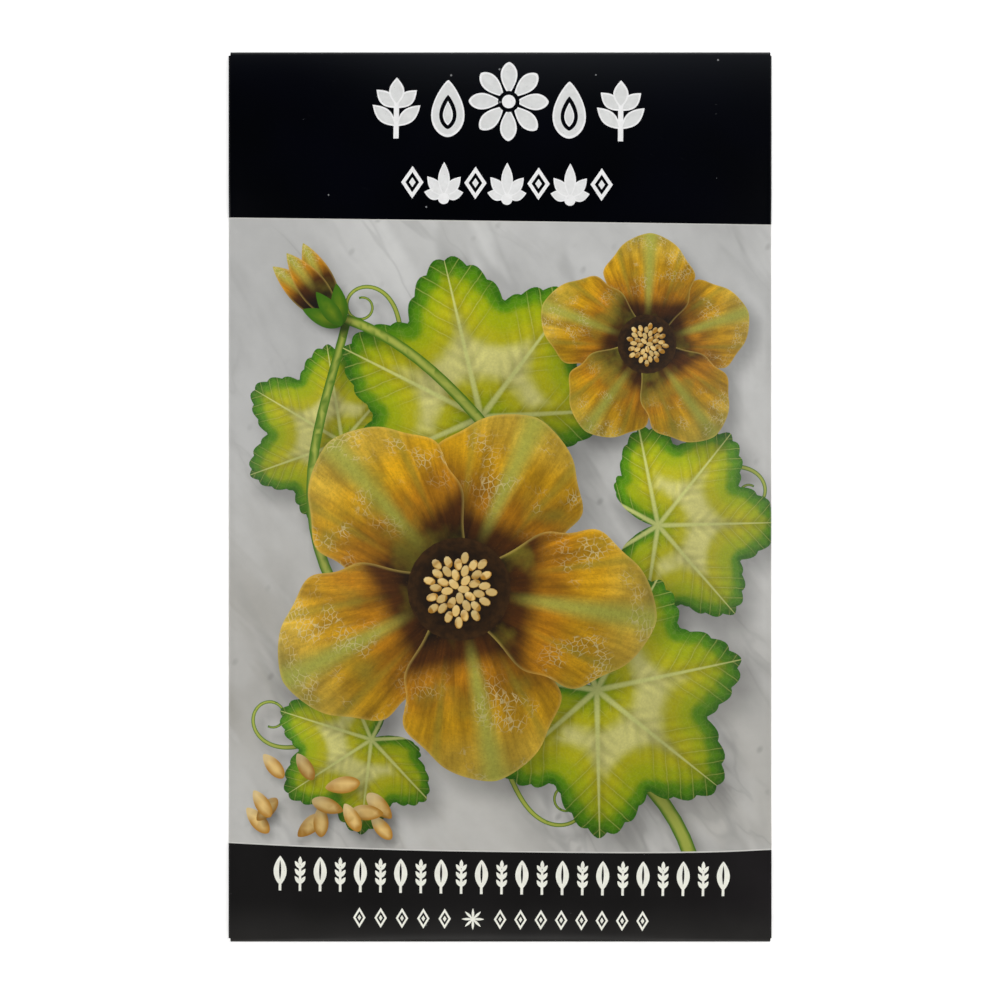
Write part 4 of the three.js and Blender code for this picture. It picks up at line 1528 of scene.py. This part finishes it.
def palmette(height):
    """A fan of five leaves on a small round foot."""
    foot = (0, -0.32 * height)
    shapes = []
    for lean, size in ((-78, 0.46), (78, 0.46), (-40, 0.6), (40, 0.6), (0, 0.8)):
        shapes += inlaid(size * height, 0.135 * height, foot, 90 + lean, rim=0.18, fill="pale")
    return shapes + [("rim", laid(round_shape(0.13 * height), (0, -0.37 * height), 0))]


def grain_ear(height):
    """A slim ear of grain: a stalk with three pairs of slanting grains and one at its top."""
    shapes = [("rim", rectangle(-0.19, -height / 2, 0.19, height * 0.2))]
    grain = blade(0.27 * height, 0.055 * height, points=12)
    for share in (-0.3, -0.08, 0.14):
        shapes += [("rim", laid(grain, (0, share * height), 90 + lean)) for lean in (-34, 34)]
    return shapes + [("rim", laid(blade(0.26 * height, 0.055 * height, points=12), (0, 0.24 * height)))]


def slim_leaf(height, width):
    """A slim upright leaf on a stalk, slit along its middle rib."""
    shapes = [("rim", rectangle(-0.2, -height / 2, 0.2, 0))]
    shapes.append(("rim", laid(blade(0.84 * height, width / 2, 0.95), (0, -0.34 * height))))
    return shapes + [("hole", laid(blade(0.56 * height, 0.17, 0.95, points=12), (0, -0.18 * height)))]


def star(size):
    """Eight thin rays."""
    ray = blade(size / 2, 0.2, points=8)
    return [("rim", laid(ray, degrees=degrees)) for degrees in range(0, 360, 45)]


def plate(name, shapes, film):
    """A thin closed plate from its shapes, each of a tone or a hole."""
    outlines = [outline for _, outline in shapes]
    everything = np.concatenate(outlines).astype(np.float32).astype(float)
    (low_x, low_y), (high_x, high_y) = everything.min(0), everything.max(0)
    columns, rows = (evenly(*ends, PLATE_GRID)[1:-1] for ends in ((low_x, high_x), (low_y, high_y)))
    corners, triangles, covering = triangulated(outlines, after=[(x, y) for x in columns for y in rows])
    tones = [shapes[max(ids)][0] if ids else "hole" for ids in covering]
    flat, kept = trimmed(corners, [part for part, tone in zip(triangles, tones) if tone != "hole"])
    faces, starts, _ = closed(kept, len(flat))
    sides = [np.insert(flat, 2, height, axis=1) for height in (film, -PLATE_SINK)]
    mesh = bpy.data.meshes.new(name)
    mesh.from_pydata((np.concatenate(sides) * MM).tolist(), [], faces)
    fills = [TONES[tone] for tone in tones if tone != "hole"]
    write_numbers(mesh, "fill", "FACE", fills * 2 + [TONES["rim"]] * len(starts))
    return mesh


ABOVE_SHEET = 20 * MM
RAY_LENGTH = 50 * MM


def row_layout():
    """A tree that lays copies of a plate along a line and presses them down onto the sheet."""
    inputs = {"Plate": "Object", "Sheet": "Object", "Count": "Int", "First": "Vector", "Step": "Vector"}
    layout = Layout("Ornament row", **inputs, Turn="Rotation", Ink="Material")
    given = layout.given
    line = {"Count": given["Count"], "Start Location": given["First"], "Offset": given["Step"]}
    copies = layout.copies(layout.get("GeometryNodeMeshLine", line, mode="OFFSET"), "Plate", given["Turn"])
    place = layout.get("GeometryNodeInputPosition")
    above = layout.get("ShaderNodeVectorMath", {0: place, 1: (0, 0, ABOVE_SHEET)})
    drop = {"Target Geometry": layout.shape("Sheet"), "Source Position": above, "Ray Direction": (0, 0, -1)}
    hit = layout.get("GeometryNodeRaycast", {**drop, "Ray Length": RAY_LENGTH}, "Hit Position")
    height = layout.get("ShaderNodeVectorMath", {0: hit, 1: (0, 0, 1)}, operation="MULTIPLY")
    pressed = layout.get("ShaderNodeVectorMath", {0: place, 1: height})
    moved = layout.get("GeometryNodeSetPosition", {"Geometry": copies, "Position": pressed})
    joined = layout.add("GeometryNodeJoinGeometry")
    for part in (layout.coloured(moved, "Ink"), given["Geometry"]):
        layout.feed(joined.inputs[0], part)
    layout.feed(layout.result, joined.outputs[0])
    return layout


def ornament_ink(name, fill, rim):
    """Pale raised ink, a little uneven, with a brighter rim."""
    recipe = Recipe(name, rim, roughness=0.42, specular=0.35)
    place = recipe.mapped(recipe.place(), (1 / MM, 1 / MM, 1 / MM))
    recipe.paint(fill, recipe.number("fill"))
    mottle = recipe.noise(place, 0.9, 4, 0.6)
    recipe.uneven(mottle, 0.3, 0.75, 0.93, 1.03)
    recipe.paint("5A5A5A", recipe.rise(recipe.cells(place, 1.3), 0.05, 0.1, 0.35, 0.0))
    recipe.bump(mottle, 0.01 * MM)
    return recipe.mixed()


def lay_ornaments(name, rows, ink, sizes):
    """Makes one piece from rows of (count, shapes, middle of the row, step along it)."""
    layout = row_layout()
    carrier = placed(name + "_start", bpy.data.meshes.new(name + "_start"))
    plates = []
    for number, (count, shapes, (x, y), step) in enumerate(rows):
        plates.append(placed(f"{name}_{number}", plate(f"{name}_{number}", shapes, sizes.film / MM)))
        first = turned(np.array([x - step * (count - 1) / 2, y]), -sizes.skew) * MM
        onwards = turned(np.array([step, 0.0]), -sizes.skew) * MM
        values = {
            "Plate": plates[-1],
            "Sheet": bpy.data.objects["printed_envelope"],
            "Count": count,
            "First": (*first, 0.0),
            "Step": (*onwards, 0.0),
            "Turn": (0.0, 0.0, -sizes.skew),
            "Ink": ink,
        }
        layout.grow(carrier, values)
    finished(name, grown(name, carrier, plates), "printed_paper")


class SEEDPACKET_OT_title_ornaments(Operator):
    """Print the two rows of pale ornaments in the title band."""

    bl_idname = "seed_packet.title_ornaments"
    bl_label = "Title ornaments"

    def execute(self, context):
        """Lays a large row over a small one."""
        sizes = context.scene.seed_packet_print
        ink = ornament_ink("title_ornament_ink", sizes.ornament, "FFFFFF")
        rows = [
            (1, rosette(12.2), (0.55, 60.3), 0.0),
            (2, sprout(9.4), (0.55, 59.1), 34.2),
            (2, seed_drop(8.8), (0.55, 59.1), 18.5),
            (4, lozenge(5.0, 3.4), (0.45, 47.7), 9.6),
            (3, palmette(6.6), (0.45, 47.7), 9.6),
        ]
        lay_ornaments("title_ornaments", rows, ink, sizes)
        return {"FINISHED"}


class SEEDPACKET_OT_foot_ornaments(Operator):
    """Print the two rows of slim pale ornaments in the foot band."""

    bl_idname = "seed_packet.foot_ornaments"
    bl_label = "Foot ornaments"

    def execute(self, context):
        """Lays a tall slim row over a small one with a star in its middle."""
        sizes = context.scene.seed_packet_print
        ink = ornament_ink("foot_ornament_ink", sizes.foot_ornament, "FFFFF3")
        rows = [
            (12, slim_leaf(5.3, 2.0), (1.0, -57.75), 6.14),
            (11, grain_ear(5.3), (1.0, -57.75), 6.14),
            (1, star(3.4), (-3.3, -64.35), 0.0),
            (5, lozenge(3.2, 1.9), (-14.1, -64.35), 3.25),
            (8, lozenge(3.2, 1.9), (11.7, -64.35), 3.1),
        ]
        lay_ornaments("foot_ornaments", rows, ink, sizes)
        return {"FINISHED"}


# Camera, lights and floor

SENSOR_WIDTH = 36
CAMERA_DROP = 3.0 / 1000
CAMERA_RANGE = (0.01, 10)
FLOOR_HALF_WIDTH = 6.0
FLOOR_DROP = 0.02 * MM
FLOOR_GLOW = 0.42
SURROUNDINGS_GLOW = 0.03
WHITE = (1, 1, 1)
# Each light's name, place, width and height, power and colour
LIGHTS = (
    ("left", (-0.68, 0.0, 0.42), (0.3, 0.9), 2.8, WHITE),
    ("right", (0.68, 0.1, 0.42), (0.3, 0.9), 3.4, WHITE),
    ("head", (0.1, 0.68, 0.42), (0.9, 0.3), 3.0, WHITE),
    ("foot", (0.0, -0.68, 0.42), (0.9, 0.3), 2.8, (1, 0.99, 0.97)),
)


def area_light(name, place, size, power, tone):
    """A soft rectangular light, aimed at the packet."""
    data = bpy.data.lights.new(name, "AREA")
    data.shape = "RECTANGLE"
    data.size, data.size_y = size
    data.energy = power
    data.color = tone
    lamp = placed(name, data)
    lamp.location = place
    lamp.rotation_euler = (-Vector(place)).to_track_quat("-Z", "Y").to_euler()


class SEEDPACKET_OT_stage(Operator):
    """Set the packet on a plain floor under soft light, with the camera straight above it."""

    bl_idname = "seed_packet.stage"
    bl_label = "Stage"

    def execute(self, context):
        """Makes the floor, the lights, the surroundings and the camera."""
        stage = context.scene.seed_packet_stage
        half = FLOOR_HALF_WIDTH
        mesh = bpy.data.meshes.new("floor")
        corners = np.insert(rectangle(-half, -half, half, half), 2, 0.0, axis=1)
        mesh.from_pydata(corners.tolist(), [], [(0, 1, 2, 3)])
        recipe = Recipe("floor_paint", stage.floor, roughness=0.9, specular=0.0)
        recipe.paint("FAFAF9", recipe.rise(recipe.noise(recipe.place(), 3.0, 2), 0.3, 0.7))
        recipe.shader.inputs["Emission Color"].default_value = opaque(WHITE)
        recipe.shader.inputs["Emission Strength"].default_value = FLOOR_GLOW
        mesh.materials.append(recipe.mixed())
        floor = placed("floor", mesh)
        floor.location.z = -FLOOR_DROP

        world = bpy.data.worlds.new("soft_surroundings")
        world.use_nodes = True
        background = world.node_tree.nodes["Background"].inputs
        background["Color"].default_value = opaque(WHITE)
        background["Strength"].default_value = SURROUNDINGS_GLOW
        context.scene.world = world
        for light in LIGHTS:
            area_light(*light)

        data = bpy.data.cameras.new("camera")
        data.sensor_width = SENSOR_WIDTH
        data.lens = stage.lens / MM
        data.clip_start, data.clip_end = CAMERA_RANGE
        camera = placed("camera", data)
        camera.location = (0, -CAMERA_DROP * stage.field, stage.field * data.lens / data.sensor_width)
        context.scene.camera = camera
        context.scene.view_settings.view_transform = "Standard"
        return {"FINISHED"}


OPERATORS = (
    SEEDPACKET_OT_envelope,
    SEEDPACKET_OT_glue,
    SEEDPACKET_OT_seeds,
    SEEDPACKET_OT_title_ornaments,
    SEEDPACKET_OT_foot_ornaments,
    SEEDPACKET_OT_stage,
)
GROUPS = {
    "seed_packet_sheet": SEEDPACKET_PG_sheet,
    "seed_packet_print": SEEDPACKET_PG_print,
    "seed_packet_seeds": SEEDPACKET_PG_seeds,
    "seed_packet_stage": SEEDPACKET_PG_stage,
}


class SEEDPACKET_PT_panel(Panel):
    """Lists the packet's sizes and colours, and the steps that build it."""

    bl_idname = "SEEDPACKET_PT_panel"
    bl_label = "Seed Packet"
    bl_space_type = "VIEW_3D"
    bl_region_type = "UI"
    bl_category = "Seed Packet"

    def draw(self, context):
        """Draws each group of settings and a button for each step."""
        for name, group in GROUPS.items():
            box = self.layout.box()
            box.label(text=group.__doc__)
            for setting in group.__annotations__:
                box.prop(getattr(context.scene, name), setting)
        for operator in OPERATORS:
            self.layout.operator(operator.bl_idname)


CLASSES = (*GROUPS.values(), *OPERATORS, SEEDPACKET_PT_panel)


def register():
    """Registers the classes and their settings."""
    for item in CLASSES:
        bpy.utils.register_class(item)
    for name, group in GROUPS.items():
        setattr(bpy.types.Scene, name, PointerProperty(type=group))


def unregister():
    """Removes the settings and the classes."""
    for name in GROUPS:
        delattr(bpy.types.Scene, name)
    for item in reversed(CLASSES):
        bpy.utils.unregister_class(item)


def main():
    """Builds the packet."""
    register()
    for operator in OPERATORS:
        group, step = operator.bl_idname.split(".")
        getattr(getattr(bpy.ops, group), step)()


if __name__ == "__main__":
    main()
